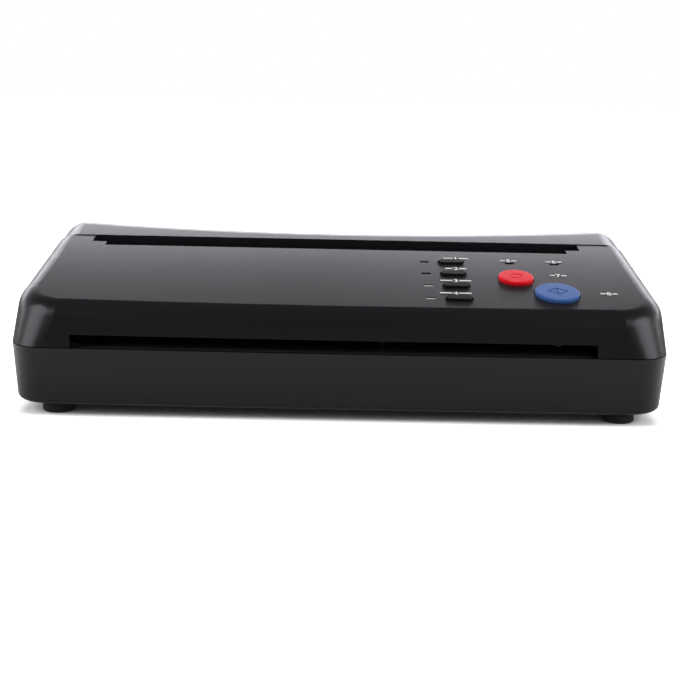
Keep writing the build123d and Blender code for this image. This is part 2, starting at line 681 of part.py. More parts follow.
def upper_cover():
    """Moulded cover: sloping control panel, stencil slot and chute, curved hood, hinge knuckles."""
    shell = cover_form(0)
    hollow = cover_form(WALL)
    inside = cover_form(WALL / 2)
    over = PANEL.offset(STEP_RISE)
    deep = STEP_RISE + WALL + 1.0
    with BuildPart() as cover:
        add(shell)
        with BuildSketch(Plane.XY):
            Rectangle(2 * WIDTH, 2 * DEPTH)
        extrude(amount=COVER_Z, mode=Mode.SUBTRACT)
        add(hollow, mode=Mode.SUBTRACT)
        add(hang(inside, chute()))
        # the slot itself, narrower in front
        with BuildSketch(Plane.XY.offset(CHUTE_Z)):
            with Locations((PATH_X, fd(STENCIL_D + STENCIL_DEPTH / 2))):
                Rectangle(SLOT_WIDTH, STENCIL_DEPTH)
            with Locations((PATH_X, fd(STENCIL_D + (STENCIL_DEPTH + STENCIL_STEP) / 2))):
                Rectangle(STENCIL_WIDE, STENCIL_DEPTH - STENCIL_STEP)
        extrude(amount=FAR, mode=Mode.SUBTRACT)
        # posts for the head, the paper guide and the scanner
        for places, bottom in (
            (HEAD_BOSSES, HEAD_TOP_Z), (GUIDE_BOSSES, GUIDE_TOP_Z), (SCANNER_BOSSES, SCANNER_TOP_Z + SPRING_RISE),
        ):
            add(hang(inside, posts(places, GUIDE_BOSS_R, bottom)))
            with BuildSketch(Plane.XY.offset(bottom)):
                with Locations(*[(x, fd(d)) for x, d in places]):
                    Circle(SCREW_R)
            extrude(amount=SCREW_LENGTH, mode=Mode.SUBTRACT)
        with BuildSketch(PANEL.offset(-BOARD_DROP)):
            with Locations(*PANEL_BOSSES):
                Circle(PANEL_BOSS_R)
        extrude(amount=BOARD_DROP - WALL / 2)
        with BuildSketch(PANEL.offset(-BOARD_DROP)):
            with Locations(*PANEL_BOSSES):
                Circle(SCREW_R)
        extrude(amount=SCREW_LENGTH, mode=Mode.SUBTRACT)
        for side in (-1, 1):
            add(hang(inside, ear(side * KNUCKLE_X, KNUCKLE_POINTS)))
            add(hang(inside, catch_blade(side)))
        with BuildSketch(Plane.YZ.offset(-WIDTH)):
            with Locations((fd(HINGE_D), HINGE_Z)):
                Circle(PIN_R + PIN_CLEARANCE)
        extrude(amount=2 * WIDTH, mode=Mode.SUBTRACT)
        # holes of the control panel
        with BuildSketch(over):
            with Locations((STOP_X, STOP_S)):
                Circle(STOP_R + PANEL_GAP)
            with Locations((COPY_X, COPY_S)):
                Circle(COPY_R + PANEL_GAP)
            with Locations(*LAMP_PLACES):
                Rectangle(LAMP_LENGTH, LAMP_WIDTH)
            for s in KEY_PLACES:
                add(key_shape(s, PANEL_GAP / 2))
        extrude(amount=-deep, mode=Mode.SUBTRACT)
        # front slot, with a chamfered upper lip
        with BuildSketch(Plane.XZ.offset(-FRONT_Y + FRONT_BULGE)):
            with Locations((PATH_X, COVER_Z + (ENTRY_HEIGHT - SEAM_GAP) / 2 - 1)):
                Rectangle(SLOT_WIDTH, ENTRY_HEIGHT - SEAM_GAP + 2)
        extrude(amount=-(FRONT_BULGE + 3 * WALL), mode=Mode.SUBTRACT)
        # rear: paper exit, and the lower edge cut back to swing past the lower case
        with BuildSketch(Plane.XZ.offset(-REAR_Y)):
            with Locations((PATH_X, EXIT_TOP_Z / 2)):
                Rectangle(SLOT_WIDTH, EXIT_TOP_Z)
        extrude(amount=2 * WALL, mode=Mode.SUBTRACT)
        add(prism(HINGE_RELIEF), mode=Mode.SUBTRACT)
        # ears of the stencil lever, and its window in the chute
        add(hang(inside, stencil_lever_ears()))
        with BuildSketch(Plane.YZ.offset(STENCIL_LEVER_X - 2 * LEVER_WIDTH)):
            with Locations((fd(STENCIL_LEVER_D), STENCIL_LEVER_Z)):
                Circle(LEVER_PIN_R + PIN_CLEARANCE)
        extrude(amount=4 * LEVER_WIDTH, mode=Mode.SUBTRACT)
        add(hang(inside, scanner_hooks()))
        with BuildSketch(Plane.XY.offset(CHUTE_Z)):
            with Locations((STENCIL_LEVER_X, fd(STENCIL_D - CHUTE_WALL))):
                Rectangle(LEVER_WIDTH + 4 * LEVER_SIDE_GAP, 2 * CHUTE_WALL)
        extrude(amount=LEVER_WINDOW, mode=Mode.SUBTRACT)
    finish(cover, "upper_cover")


# ---------------------------------------------------------------- frames, bushes and rollers
FRAME_FOOT_Z = FLOOR_Z + BOSS_HEIGHT


def frame_profile():
    """Side frame: low at the front roller, higher at the platen and at the reduction gear."""
    low = DOC_Z + BUSH_R + 0.4
    high = PLATEN_Z + BUSH_R + 2.0
    with BuildSketch() as flat:
        with BuildLine():
            Polyline(
                (fd(DOC_D - 12), FRAME_FOOT_Z), (fd(REDUCTION[0] + 11), FRAME_FOOT_Z),
                (fd(REDUCTION[0] + 11), REDUCTION[1] + 3), (fd(REDUCTION[0] + 6), REDUCTION[1] + 6),
                (fd(REDUCTION[0] - 5), REDUCTION[1] + 6), (fd(PLATEN_D + 11), high),
                (fd(PLATEN_D - 12), high), (fd(PLATEN_D - 14), high + 3), (fd(PLATEN_D - 27), high + 3),
                (fd(PLATEN_D - 29), low), (fd(DOC_D - 12), low), close=True,
            )
        make_face()
        fillet(flat.vertices(), 1.5)
        for centre in (DOC, PLATEN):
            with Locations((fd(centre[0]), centre[1])):
                Circle(BUSH_R + FOOT_CLEARANCE, mode=Mode.SUBTRACT)
        # lightening window under the platen
        with Locations((fd(PLATEN_D - 2), FRAME_FOOT_Z + 8)):
            SlotOverall(24, 8, mode=Mode.SUBTRACT)
    return flat.sketch


def side_frame(middle, way, studs, node):
    """Sheet steel frame with bush holes and feet bent outward."""
    with BuildPart() as frame:
        with BuildSketch(Plane.YZ.offset(middle - SHEET / 2)):
            add(frame_profile())
        extrude(amount=SHEET)
        for d in FRAME_FOOT_DS:
            add(block(middle + way * (SHEET + FRAME_FOOT) / 2 - way * SHEET / 2, d, FRAME_FOOT_Z,
                      (SHEET + FRAME_FOOT, FRAME_FOOT_LENGTH, SHEET)))
        with BuildSketch(Plane.XY.offset(FRAME_FOOT_Z)):
            with Locations(*[(x, fd(d)) for x, d in FRAME_BOSSES]):
                Circle(SCREW_R + SCREW_SLACK)
        extrude(amount=SHEET, mode=Mode.SUBTRACT)
        for centre in studs:
            add(rod(middle - SHEET, centre, STUD_R + FOOT_CLEARANCE, 2 * SHEET), mode=Mode.SUBTRACT)
    finish(frame, node)


def roller_bushes():
    """Four flanged plastic bushes, pushed into the frames from inside."""
    with BuildPart() as bushes:
        for x, centre in BUSH_PLACES:
            way = 1 if x > PATH_X else -1
            inner = x - way * (SHEET / 2 + BUSH_FLANGE)
            add(rod(inner, centre, BUSH_R, way * (BUSH_FLANGE + SHEET + BUSH_PROUD)))
            add(rod(inner, centre, BUSH_FLANGE_R, way * BUSH_FLANGE))
        for centre in (DOC, PLATEN):
            add(rod(-WIDTH, centre, SHAFT_R + RUN_CLEARANCE, 2 * WIDTH), mode=Mode.SUBTRACT)
    finish(bushes, "roller_bushes")


BUSH_FLANGE = 1.0
BUSH_PROUD = 1.0
SHAFT_PAST = 2.0         # left shaft ends beyond the bushes
ROLLER_LENGTH = 214.0


def roller(name, centre, r, end_x):
    """Steel shaft with its grooves for snap rings, and the rubber moulded on it."""
    start = FRAME_LEFT - SHEET / 2 - BUSH_PROUD - SHAFT_PAST
    with BuildPart() as shaft:
        add(rod(start, centre, SHAFT_R, end_x - start))
        chamfer(shaft.edges().filter_by(GeomType.CIRCLE), 0.4)
        groove = start + SHAFT_PAST / 2
        with BuildSketch(Plane.YZ.offset(groove)):
            with Locations((fd(centre[0]), centre[1])):
                Circle(SHAFT_R + 1)
                Circle(SHAFT_R - 0.6, mode=Mode.SUBTRACT)
        extrude(amount=0.6, mode=Mode.SUBTRACT)
    finish(shaft, f"{name}_shaft")
    with BuildPart() as rubber:
        add(rod(PATH_X - ROLLER_LENGTH / 2, centre, r, ROLLER_LENGTH))
        chamfer(rubber.edges().filter_by(GeomType.CIRCLE), 0.4)
        add(rod(PATH_X - ROLLER_LENGTH / 2, centre, SHAFT_R, ROLLER_LENGTH), mode=Mode.SUBTRACT)
    finish(rubber, f"{name}_rubber")


# ---------------------------------------------------------------- gears and motor
HUB_START = FRAME_RIGHT + SHEET / 2 + BUSH_PROUD + PAPER_GAP
STUD_HUB_START = FRAME_RIGHT + SHEET / 2 + PAPER_GAP
FIT = 0.02               # gear pressed on its shaft
MOTOR_SHAFT_R = 1.0
CLIP_R = 3.4
CLIP_THICK = 0.5


def spur_gear(centre, teeth, phase, bore, hub_start, node):
    """Moulded spur gear with a hub towards the frame and a thinned web."""
    with BuildPart() as gear:
        add(toothed(GEAR_X, centre, teeth, phase, GEAR_WIDTH))
        rim = pitch_r(teeth) - 2.4 * MODULE
        if rim > HUB_R + 1.5:
            with BuildSketch(Plane.YZ.offset(GEAR_X + GEAR_WIDTH)):
                with Locations((fd(centre[0]), centre[1])):
                    Circle(rim)
                    Circle(HUB_R, mode=Mode.SUBTRACT)
            extrude(amount=-GEAR_WIDTH / 3, mode=Mode.SUBTRACT)
        add(rod(hub_start, centre, HUB_R, GEAR_X - hub_start))
        add(rod(hub_start, centre, bore, GEAR_X + GEAR_WIDTH - hub_start), mode=Mode.SUBTRACT)
    finish(gear, node)


def reduction_gear():
    """Large gear driven by the motor, with the small one beside it that drives the platen."""
    with BuildPart() as gear:
        add(toothed(GEAR_X, REDUCTION, SMALL_TEETH, SMALL_PHASE, GEAR_WIDTH))
        add(rod(GEAR_X + GEAR_WIDTH, REDUCTION, HUB_R, GEAR_GAP))
        add(toothed(BIG_X, REDUCTION, BIG_TEETH, SMALL_PHASE, BIG_WIDTH))
        with BuildSketch(Plane.YZ.offset(BIG_X + BIG_WIDTH)):
            with Locations((fd(REDUCTION[0]), REDUCTION[1])):
                Circle(pitch_r(BIG_TEETH) - 2.4 * MODULE)
                Circle(HUB_R, mode=Mode.SUBTRACT)
        extrude(amount=-BIG_WIDTH / 3, mode=Mode.SUBTRACT)
        add(rod(STUD_HUB_START, REDUCTION, HUB_R, GEAR_X - STUD_HUB_START))
        add(rod(STUD_HUB_START, REDUCTION, STUD_R + RUN_CLEARANCE, BIG_X + BIG_WIDTH - STUD_HUB_START), mode=Mode.SUBTRACT)
    finish(gear, "reduction_gear")


def gear_studs():
    """Riveted studs of the idler and of the reduction gear, each with a snap ring."""
    head_x = FRAME_RIGHT - SHEET / 2
    with BuildPart() as studs:
        for centre, end in ((IDLER, GEAR_X + GEAR_WIDTH), (REDUCTION, BIG_X + BIG_WIDTH)):
            add(rod(head_x - BUSH_FLANGE, centre, CLIP_R, BUSH_FLANGE))
            add(rod(head_x - BUSH_FLANGE, centre, STUD_R, end + CLIP_THICK + 0.1 - head_x + BUSH_FLANGE))
            add(rod(end + 0.1, centre, CLIP_R, CLIP_THICK))
    finish(studs, "gear_studs")


def motor_bracket():
    """Bent plate that holds the motor outside the gears."""
    with BuildPart() as bracket:
        with BuildSketch(Plane.YZ.offset(PLATE_X - SHEET / 2)) as flat:
            with Locations((fd(MOTOR_D), (FRAME_FOOT_Z + MOTOR_Z + MOTOR_R + 0.5) / 2)):
                Rectangle(2 * MOTOR_R + 1, MOTOR_Z + MOTOR_R + 0.5 - FRAME_FOOT_Z)
            with Locations((fd(MOTOR_D), MOTOR_Z)):
                Rectangle(MOTOR_EARS + 8, 12)
            fillet(flat.vertices(), 1.0)
            with Locations((fd(MOTOR_D), MOTOR_Z)):
                Circle(MOTOR_PILOT_R + FOOT_CLEARANCE, mode=Mode.SUBTRACT)
        extrude(amount=SHEET)
        for d in BRACKET_FOOT_DS:
            add(block(PLATE_X + FRAME_FOOT / 2, d, FRAME_FOOT_Z, (SHEET + FRAME_FOOT, 8, SHEET)))
        with BuildSketch(Plane.XY.offset(FRAME_FOOT_Z)):
            with Locations(*[(x, fd(d)) for x, d in BRACKET_BOSSES]):
                Circle(SCREW_R + SCREW_SLACK)
        extrude(amount=SHEET, mode=Mode.SUBTRACT)
    finish(bracket, "motor_bracket")


MOTOR_EARS = 42.0        # between the motor's fixing screws
MOTOR_PILOT_R = 5.0


def stepper_motor():
    """Can motor with a two-eared flange, a pilot boss and its connector."""
    face = PLATE_X + SHEET / 2
    with BuildPart() as motor:
        add(rod(face, MOTOR, MOTOR_R, MOTOR_LENGTH))
        fillet(motor.edges().filter_by(GeomType.CIRCLE).sort_by(Axis.X)[-1], 1.2)
        with BuildSketch(Plane.YZ.offset(face)):
            with Locations((fd(MOTOR_D), MOTOR_Z)):
                SlotOverall(MOTOR_EARS + 7, 8)
        extrude(amount=0.8)
        add(rod(face - SHEET, MOTOR, MOTOR_PILOT_R, SHEET))
        add(block(face + MOTOR_LENGTH / 2, MOTOR_D, MOTOR_Z + MOTOR_R - 2, (7, 12, 4)))
        add(rod(face - SHEET, MOTOR, MOTOR_SHAFT_R + RUN_CLEARANCE, SHEET + MOTOR_LENGTH * 0.7), mode=Mode.SUBTRACT)
    finish(motor, "stepper_motor")


def motor_pinion():
    """Brass pinion on the motor's shaft."""
    face = PLATE_X + SHEET / 2
    with BuildPart() as pinion:
        add(toothed(BIG_X, MOTOR, PINION_TEETH, PINION_PHASE, BIG_WIDTH))
        add(rod(BIG_X - 0.5, MOTOR, MOTOR_SHAFT_R, face + MOTOR_LENGTH / 2 - BIG_X + 0.5))
    finish(pinion, "motor_pinion")


# ---------------------------------------------------------------- paper guides
GUIDE_HALF = 107.0
GUIDE_THICK = 1.6
DOC_LEVER_X, DOC_LEVER_D, DOC_LEVER_Z = 18.0, 16.0, 22.0
RIB_PITCH = 25.0
RIB_START = 8.5


def guide_plate(top_line, half):
    """A bent plate across the paper path, from the (d, z) points of its upper face."""
    lower = [(d, z - GUIDE_THICK) for d, z in reversed(top_line)]
    with BuildPart() as plate:
        with BuildSketch(Plane.YZ.offset(PATH_X - half)):
            with BuildLine():
                Polyline(*[(fd(d), z) for d, z in top_line + lower], close=True)
            make_face()
        extrude(amount=2 * half)
    return plate.part


def entry_guide():
    """Shelf behind the front slot, on ribs that stand on the floor; two carry the sheet lever."""
    end = DOC_D - DOC_R - 1.4
    line = [(3.6, SEAM_Z - 0.2), (end, DOC_Z + DOC_R - 0.8)]
    ribs = [x for x in (PATH_X + i * RIB_PITCH for i in range(-4, 5)) if abs(x - DOC_LEVER_X) > RIB_PITCH / 2]
    with BuildPart() as guide:
        for x in ribs:
            add(block(x, (RIB_START + end - 1) / 2, FLOOR_Z,
                      (GUIDE_THICK, end - 1 - RIB_START, SEAM_Z - FLOOR_Z - 1)))
        for side in (-1, 1):
            x = DOC_LEVER_X + side * (LEVER_WIDTH / 2 + LEVER_SIDE_GAP + EAR_THICK / 2)
            add(block(x, DOC_LEVER_D, FLOOR_Z, (EAR_THICK, 8, SEAM_Z - FLOOR_Z - 1)))
        add(guide_plate(line, GUIDE_HALF))
        add(block(DOC_LEVER_X, DOC_LEVER_D + 3.5, FLOOR_Z + 1, (LEVER_WIDTH + 2 * LEVER_SIDE_GAP, 16, FAR)),
            mode=Mode.SUBTRACT)
        with BuildSketch(Plane.YZ.offset(DOC_LEVER_X - 3 * LEVER_WIDTH)):
            with Locations((fd(DOC_LEVER_D), DOC_LEVER_Z)):
                Circle(LEVER_PIN_R + PIN_CLEARANCE)
        extrude(amount=6 * LEVER_WIDTH, mode=Mode.SUBTRACT)
    finish(guide, "entry_guide")


TRANSFER_HALF = 104.0
EXIT_HALF = 106.5


def transfer_guide():
    """Lower guide that takes the drawing under the platen and out at the rear."""
    line = [(DOC_D + DOC_R + 1.6, DOC_Z + DOC_R - 0.8), (PLATEN_D - 12, PLATEN_Z - 9.8), (DEPTH - 1, 22.4)]
    with BuildPart() as guide:
        add(guide_plate(line, TRANSFER_HALF))
        for side in (-1, 1):
            points = [(fd(62), FLOOR_Z), (fd(DEPTH - 8), FLOOR_Z), (fd(DEPTH - 8), 22.0),
                      (fd(PLATEN_D - 12), PLATEN_Z - 10.6), (fd(62), DOC_Z + DOC_R - 2.2)]
            with BuildSketch(Plane.YZ.offset(PATH_X + side * (TRANSFER_HALF - GUIDE_THICK / 2) - GUIDE_THICK / 2)):
                with BuildLine():
                    Polyline(*points, close=True)
                make_face()
            extrude(amount=GUIDE_THICK)
    finish(guide, "transfer_guide")


def stencil_exit_guide():
    """Upper guide that takes the stencil from the platen to the rear, on two cheeks."""
    line = [(PLATEN_D + 10.5, PLATEN_Z + 4.4), (DEPTH - 28, 34.0), (DEPTH - 1, 31.0)]
    with BuildPart() as guide:
        add(guide_plate(line, EXIT_HALF))
        for side in (-1, 1):
            points = [(fd(112), FLOOR_Z), (fd(DEPTH - 8), FLOOR_Z), (fd(DEPTH - 8), 31.0),
                      (fd(DEPTH - 28), 33.0), (fd(112), 38.0)]
            with BuildSketch(Plane.YZ.offset(PATH_X + side * (EXIT_HALF - GUIDE_THICK / 2) - GUIDE_THICK / 2)):
                with BuildLine():
                    Polyline(*points, close=True)
                make_face()
            extrude(amount=GUIDE_THICK)
    finish(guide, "stencil_exit_guide")


def stencil_guide():
    """Curved lip that turns the stencil paper towards the platen, with tabs on the frames."""
    line = [(70.0, 48.6), (78.0, 44.6), (86.0, 42.4)]
    with BuildPart() as guide:
        add(guide_plate(line, FRAME_X))
        for side in (-1, 1):
            add(block(PATH_X + side * (FRAME_X - SHEET / 2), 76, 34.0, (SHEET, 9, 10.5)))
    finish(guide, "stencil_guide")


def upper_guide():
    """Guide above the sheet, screwed under the cover, sloping down to the scanner."""
    front, bend, end = 5.8, 26.0, SCANNER_D - SCANNER_DEPTH / 2 - 0.8
    line = [(front, GUIDE_TOP_Z), (bend, GUIDE_TOP_Z), (end, GUIDE_TOP_Z - 2)]
    with BuildPart() as guide:
        add(guide_plate(line, GUIDE_HALF))
        with BuildSketch(Plane.XY.offset(GUIDE_TOP_Z - 2 * GUIDE_THICK)):
            with Locations(*[(x, fd(d)) for x, d in GUIDE_BOSSES]):
                Circle(SCREW_R + SCREW_SLACK)
        extrude(amount=4 * GUIDE_THICK, mode=Mode.SUBTRACT)
        # notch over the sheet lever
        add(block(DOC_LEVER_X, DOC_LEVER_D, GUIDE_TOP_Z - 2 * GUIDE_THICK, (6, 12, 4 * GUIDE_THICK)),
            mode=Mode.SUBTRACT)
    finish(guide, "upper_guide")


# ---------------------------------------------------------------- scanner and thermal head
GLASS_DEPTH, GLASS_THICK = 14.0, 1.8
LUG = 1.1
HEAD_D = PLATEN_D
HEAD_HALF = 106.0
HEAD_FACE_Z = PLATEN_Z + PLATEN_R + PAPER_GAP
HEAD_GLAZE = 0.6         # the raised line of heating dots
HEAD_BOARD = 1.2
SINK_TOP_Z = 52.0
SINK_DEPTH = 17.0
FLOAT = 0.8              # travel of the head and of the scanner against their springs
LUG_LENGTH, LUG_DEPTH, LUG_HEIGHT = 4.6, 6.0, 3.0
HEAD_LUG_Z = 47.4


def scanner_housing():
    """Contact image sensor: a long channel, open below for its glass, with a lug at each end."""
    with BuildPart() as housing:
        add(block(PATH_X, SCANNER_D, SCANNER_BOTTOM_Z,
                  (SCANNER_LENGTH, SCANNER_DEPTH, SCANNER_TOP_Z - SCANNER_BOTTOM_Z)))
        chamfer(housing.faces().sort_by(Axis.Z)[-1].edges().filter_by(Axis.X), 2.0)
        add(block(PATH_X, SCANNER_D, SCANNER_BOTTOM_Z, (SCANNER_LENGTH - 6, GLASS_DEPTH, GLASS_THICK)),
            mode=Mode.SUBTRACT)
        add(block(PATH_X, SCANNER_D, SCANNER_BOTTOM_Z, (SCANNER_LENGTH - 10, GLASS_DEPTH - 3, 6)),
            mode=Mode.SUBTRACT)
        for side in (-1, 1):
            add(block(PATH_X + side * (SCANNER_LENGTH / 2 + LUG / 2 - 0.1), SCANNER_D, HOOK_Z + HOOK_LEDGE + PAPER_GAP,
                      (LUG + 0.2, 6, 3)))
    finish(housing, "scanner_housing")


def scanner_glass():
    """Glass strip over the sensor."""
    with BuildPart() as glass:
        add(block(PATH_X, SCANNER_D, SCANNER_BOTTOM_Z, (SCANNER_LENGTH - 6, GLASS_DEPTH, GLASS_THICK)))
    finish(glass, "scanner_glass")


def leaf_springs(places, top_z_, bottom_z, node):
    """Bowed strips of spring steel, each hung from a flat tab."""
    with BuildPart() as springs:
        for x, d in places:
            with BuildSketch(Plane.XZ.offset(-fd(d) - SPRING_WIDTH / 2)):
                with BuildLine():
                    ThreePointArc((x - SPRING_HALF, bottom_z), (x, top_z_), (x + SPRING_HALF, bottom_z))
                    Line((x + SPRING_HALF, bottom_z), (x + SPRING_HALF - 1, bottom_z))
                    ThreePointArc((x + SPRING_HALF - 1, bottom_z), (x, top_z_ - SPRING_THICK),
                                  (x - SPRING_HALF + 1, bottom_z))
                    Line((x - SPRING_HALF + 1, bottom_z), (x - SPRING_HALF, bottom_z))
                make_face()
            extrude(amount=SPRING_WIDTH)
    finish(springs, node)


SPRING_WIDTH, SPRING_HALF, SPRING_THICK = 7.0, 11.0, 0.5


def head_bracket():
    """Steel channel under the cover; the heat sink's lugs float in slots of its end flanges."""
    long = FRAME_X + SHEET / 2
    with BuildPart() as bracket:
        add(block(PATH_X, HEAD_D + 1, HEAD_TOP_Z - SHEET, (2 * long, 20, SHEET)))
        for side in (-1, 1):
            add(block(PATH_X + side * (long - SHEET / 2), HEAD_D + 1, 46.0, (SHEET, 14, HEAD_TOP_Z - 46.0)))
        add(block(PATH_X, HEAD_D + 10.4, HEAD_TOP_Z - 5, (2 * long, SHEET, 5)))
        add(block(PATH_X, HEAD_D, HEAD_LUG_Z - 0.3, (4 * long, LUG_DEPTH + 0.6, LUG_HEIGHT + FLOAT + 0.6)),
            mode=Mode.SUBTRACT)
        with BuildSketch(Plane.XY.offset(HEAD_TOP_Z - 2 * SHEET)):
            with Locations(*[(x, fd(d)) for x, d in HEAD_BOSSES]):
                Circle(SCREW_R + SCREW_SLACK)
        extrude(amount=4 * SHEET, mode=Mode.SUBTRACT)
    finish(bracket, "head_bracket")


def head_heat_sink():
    """Aluminium bar with grooves on top and a lug at each end."""
    bottom = HEAD_FACE_Z + HEAD_GLAZE + HEAD_BOARD
    with BuildPart() as sink:
        add(block(PATH_X, HEAD_D + 1, bottom, (2 * HEAD_HALF, SINK_DEPTH, SINK_TOP_Z - bottom)))
        with BuildSketch(Plane.XY.offset(SINK_TOP_Z)):
            with Locations((PATH_X, fd(HEAD_D + 1))):
                with GridLocations(1, 3.4, 1, 4):
                    Rectangle(2 * HEAD_HALF, 1.4)
        extrude(amount=-1.8, mode=Mode.SUBTRACT)
        for side in (-1, 1):
            add(block(PATH_X + side * (HEAD_HALF + LUG_LENGTH / 2 - 0.5), HEAD_D, HEAD_LUG_Z,
                      (LUG_LENGTH + 1, LUG_DEPTH, LUG_HEIGHT)))
    finish(sink, "head_heat_sink")


def thermal_head():
    """Ceramic strip with the raised heating line along its middle."""
    base = HEAD_FACE_Z + HEAD_GLAZE
    with BuildPart() as head:
        add(block(PATH_X, HEAD_D + 1, base, (2 * HEAD_HALF, SINK_DEPTH - 1, HEAD_BOARD)))
        with BuildSketch(Plane.YZ.offset(PATH_X - HEAD_HALF)):
            with BuildLine():
                ThreePointArc((fd(HEAD_D - 2), base), (fd(HEAD_D), HEAD_FACE_Z), (fd(HEAD_D + 2), base))
                Line((fd(HEAD_D + 2), base), (fd(HEAD_D - 2), base))
            make_face()
        extrude(amount=2 * HEAD_HALF)
    finish(head, "thermal_head")


def head_driver_cover():
    """Black strip that shields the driver chips behind the heating line."""
    base = HEAD_FACE_Z + HEAD_GLAZE
    with BuildPart() as strip:
        add(block(PATH_X, HEAD_D + 7.4, base - 1.2, (2 * HEAD_HALF - 16, 3.6, 1.2)))
        chamfer(strip.faces().sort_by(Axis.Z)[0].edges().filter_by(Axis.X), 0.6)
    finish(strip, "head_driver_cover")


# ---------------------------------------------------------------- control panel
ENGRAVING = 0.3
MARK_LINE = 0.55


def start_mark():
    """Diamond outline with a bar across it."""
    long, high = 4.6, 3.6
    with BuildSketch() as mark:
        with BuildLine():
            Polyline((-long, 0), (0, high), (long, 0), (0, -high), close=True)
        make_face()
        with BuildLine():
            Polyline((MARK_LINE * 1.6 - long, 0), (0, high - MARK_LINE * 1.3), (long - MARK_LINE * 1.6, 0),
                     (0, MARK_LINE * 1.3 - high), close=True)
        make_face(mode=Mode.SUBTRACT)
        Rectangle(MARK_LINE, 2 * high)
    return mark.sketch


def stop_mark():
    """Small ring with a bar."""
    with BuildSketch() as mark:
        Circle(2.6)
        Circle(2.6 - MARK_LINE, mode=Mode.SUBTRACT)
        Rectangle(MARK_LINE, 2.2)
    return mark.sketch


def button(x, s, r, mark, node):
    """Round button: domed and engraved cap, rim below the panel and a stem over its switch."""
    rim_z = -WALL - 0.3
    stem_z = SWITCH_HEIGHT + PLUNGER_HEIGHT + BUTTON_TRAVEL + 0.1 - BOARD_DROP
    with BuildPart() as cap:
        with BuildSketch(PANEL.offset(stem_z)):
            with Locations((x, s)):
                Circle(2.6)
        extrude(amount=rim_z - FLANGE_THICK - stem_z)
        with BuildSketch(PANEL.offset(rim_z - FLANGE_THICK)):
            with Locations((x, s)):
                Circle(r + FLANGE)
        extrude(amount=FLANGE_THICK)
        with BuildSketch(PANEL.offset(rim_z)):
            with Locations((x, s)):
                Circle(r)
        extrude(amount=BUTTON_RISE - rim_z)
        top = cap.faces().filter_by(lambda f: f.normal_at().dot(PANEL.z_dir) > 0.99)
        crown = top.sort_by(lambda f: f.center().dot(PANEL.z_dir))[-1]
        fillet(crown.edges(), 0.8)
        with BuildSketch(PANEL.offset(BUTTON_RISE)):
            with Locations((x, s)):
                add(mark)
        extrude(amount=-ENGRAVING, mode=Mode.SUBTRACT)
    finish(cap, node)


def key(s, node):
    """Long key with pointed ends, a rim below the panel and a stem over its switch."""
    rim_z = -WALL - 0.3
    stem_z = SWITCH_HEIGHT + PLUNGER_HEIGHT + KEY_TRAVEL + 0.1 - BOARD_DROP
    with BuildPart() as cap:
        with BuildSketch(PANEL.offset(rim_z)):
            add(key_shape(s, 0))
        extrude(amount=KEY_RISE - rim_z)
        top = cap.faces().sort_by(lambda f: f.center().dot(PANEL.z_dir))[-1]
        chamfer(top.edges(), 0.4)
        with BuildSketch(PANEL.offset(rim_z - FLANGE_THICK)):
            with Locations((KEY_X, s)):
                Rectangle(KEY_LENGTH + FLANGE, KEY_WIDTH + 2 * FLANGE)
        extrude(amount=FLANGE_THICK)
        with BuildSketch(PANEL.offset(stem_z)):
            with Locations((KEY_X, s)):
                Circle(PLUNGER_R)
        extrude(amount=rim_z - FLANGE_THICK - stem_z)
    finish(cap, node)


BOARD_X0, BOARD_X1, BOARD_S0, BOARD_S1 = 30.5, 108.0, 10.5, 68.0
SWITCH_PLACES = [(KEY_X, s) for s in KEY_PLACES] + [(STOP_X, STOP_S), (COPY_X, COPY_S)]


def key_board():
    """Circuit board under the control panel."""
    with BuildPart() as board:
        with BuildSketch(PANEL.offset(-BOARD_DROP)):
            with Locations(((BOARD_X0 + BOARD_X1) / 2, (BOARD_S0 + BOARD_S1) / 2)):
                RectangleRounded(BOARD_X1 - BOARD_X0, BOARD_S1 - BOARD_S0, 1.0)
            with Locations(*PANEL_BOSSES):
                Circle(SCREW_R + SCREW_SLACK, mode=Mode.SUBTRACT)
        extrude(amount=-BOARD_THICK)
    finish(board, "key_board")


def key_switches():
    """Six push switches under the keys and buttons."""
    with BuildPart() as switches:
        with BuildSketch(PANEL.offset(-BOARD_DROP)):
            with Locations(*SWITCH_PLACES):
                Rectangle(SWITCH_SIZE, SWITCH_SIZE)
        extrude(amount=SWITCH_HEIGHT)
        with BuildSketch(PANEL.offset(SWITCH_HEIGHT - BOARD_DROP)):
            with Locations(*SWITCH_PLACES):
                Circle(PLUNGER_R)
        extrude(amount=PLUNGER_HEIGHT)
    finish(switches, "key_switches")


LAMP_SINK = 0.8          # the light windows lie below the panel's surface
LAMP_BODY = 1.6
WINDOW_GAP = 0.1


def led_lamps():
    """Six lamps on the key board."""
    with BuildPart() as lamps:
        with BuildSketch(PANEL.offset(-BOARD_DROP)):
            with Locations(*LAMP_PLACES):
                Rectangle(3.2, 1.6)
        extrude(amount=LAMP_BODY)
    finish(lamps, "led_lamps")


def led_windows():
    """Clear light guides from the lamps up into their holes in the panel."""
    with BuildPart() as windows:
        with BuildSketch(PANEL.offset(LAMP_BODY - BOARD_DROP)):
            with Locations(*LAMP_PLACES):
                Rectangle(LAMP_LENGTH - 2 * WINDOW_GAP, LAMP_WIDTH - 2 * WINDOW_GAP)
        extrude(amount=BOARD_DROP - LAMP_BODY - LAMP_SINK)
        with BuildSketch(PANEL.offset(-WALL - FLANGE_THICK)):
            with Locations(*LAMP_PLACES):
                Rectangle(LAMP_LENGTH + FLANGE, LAMP_WIDTH + FLANGE)
        extrude(amount=FLANGE_THICK)
    finish(windows, "led_windows")


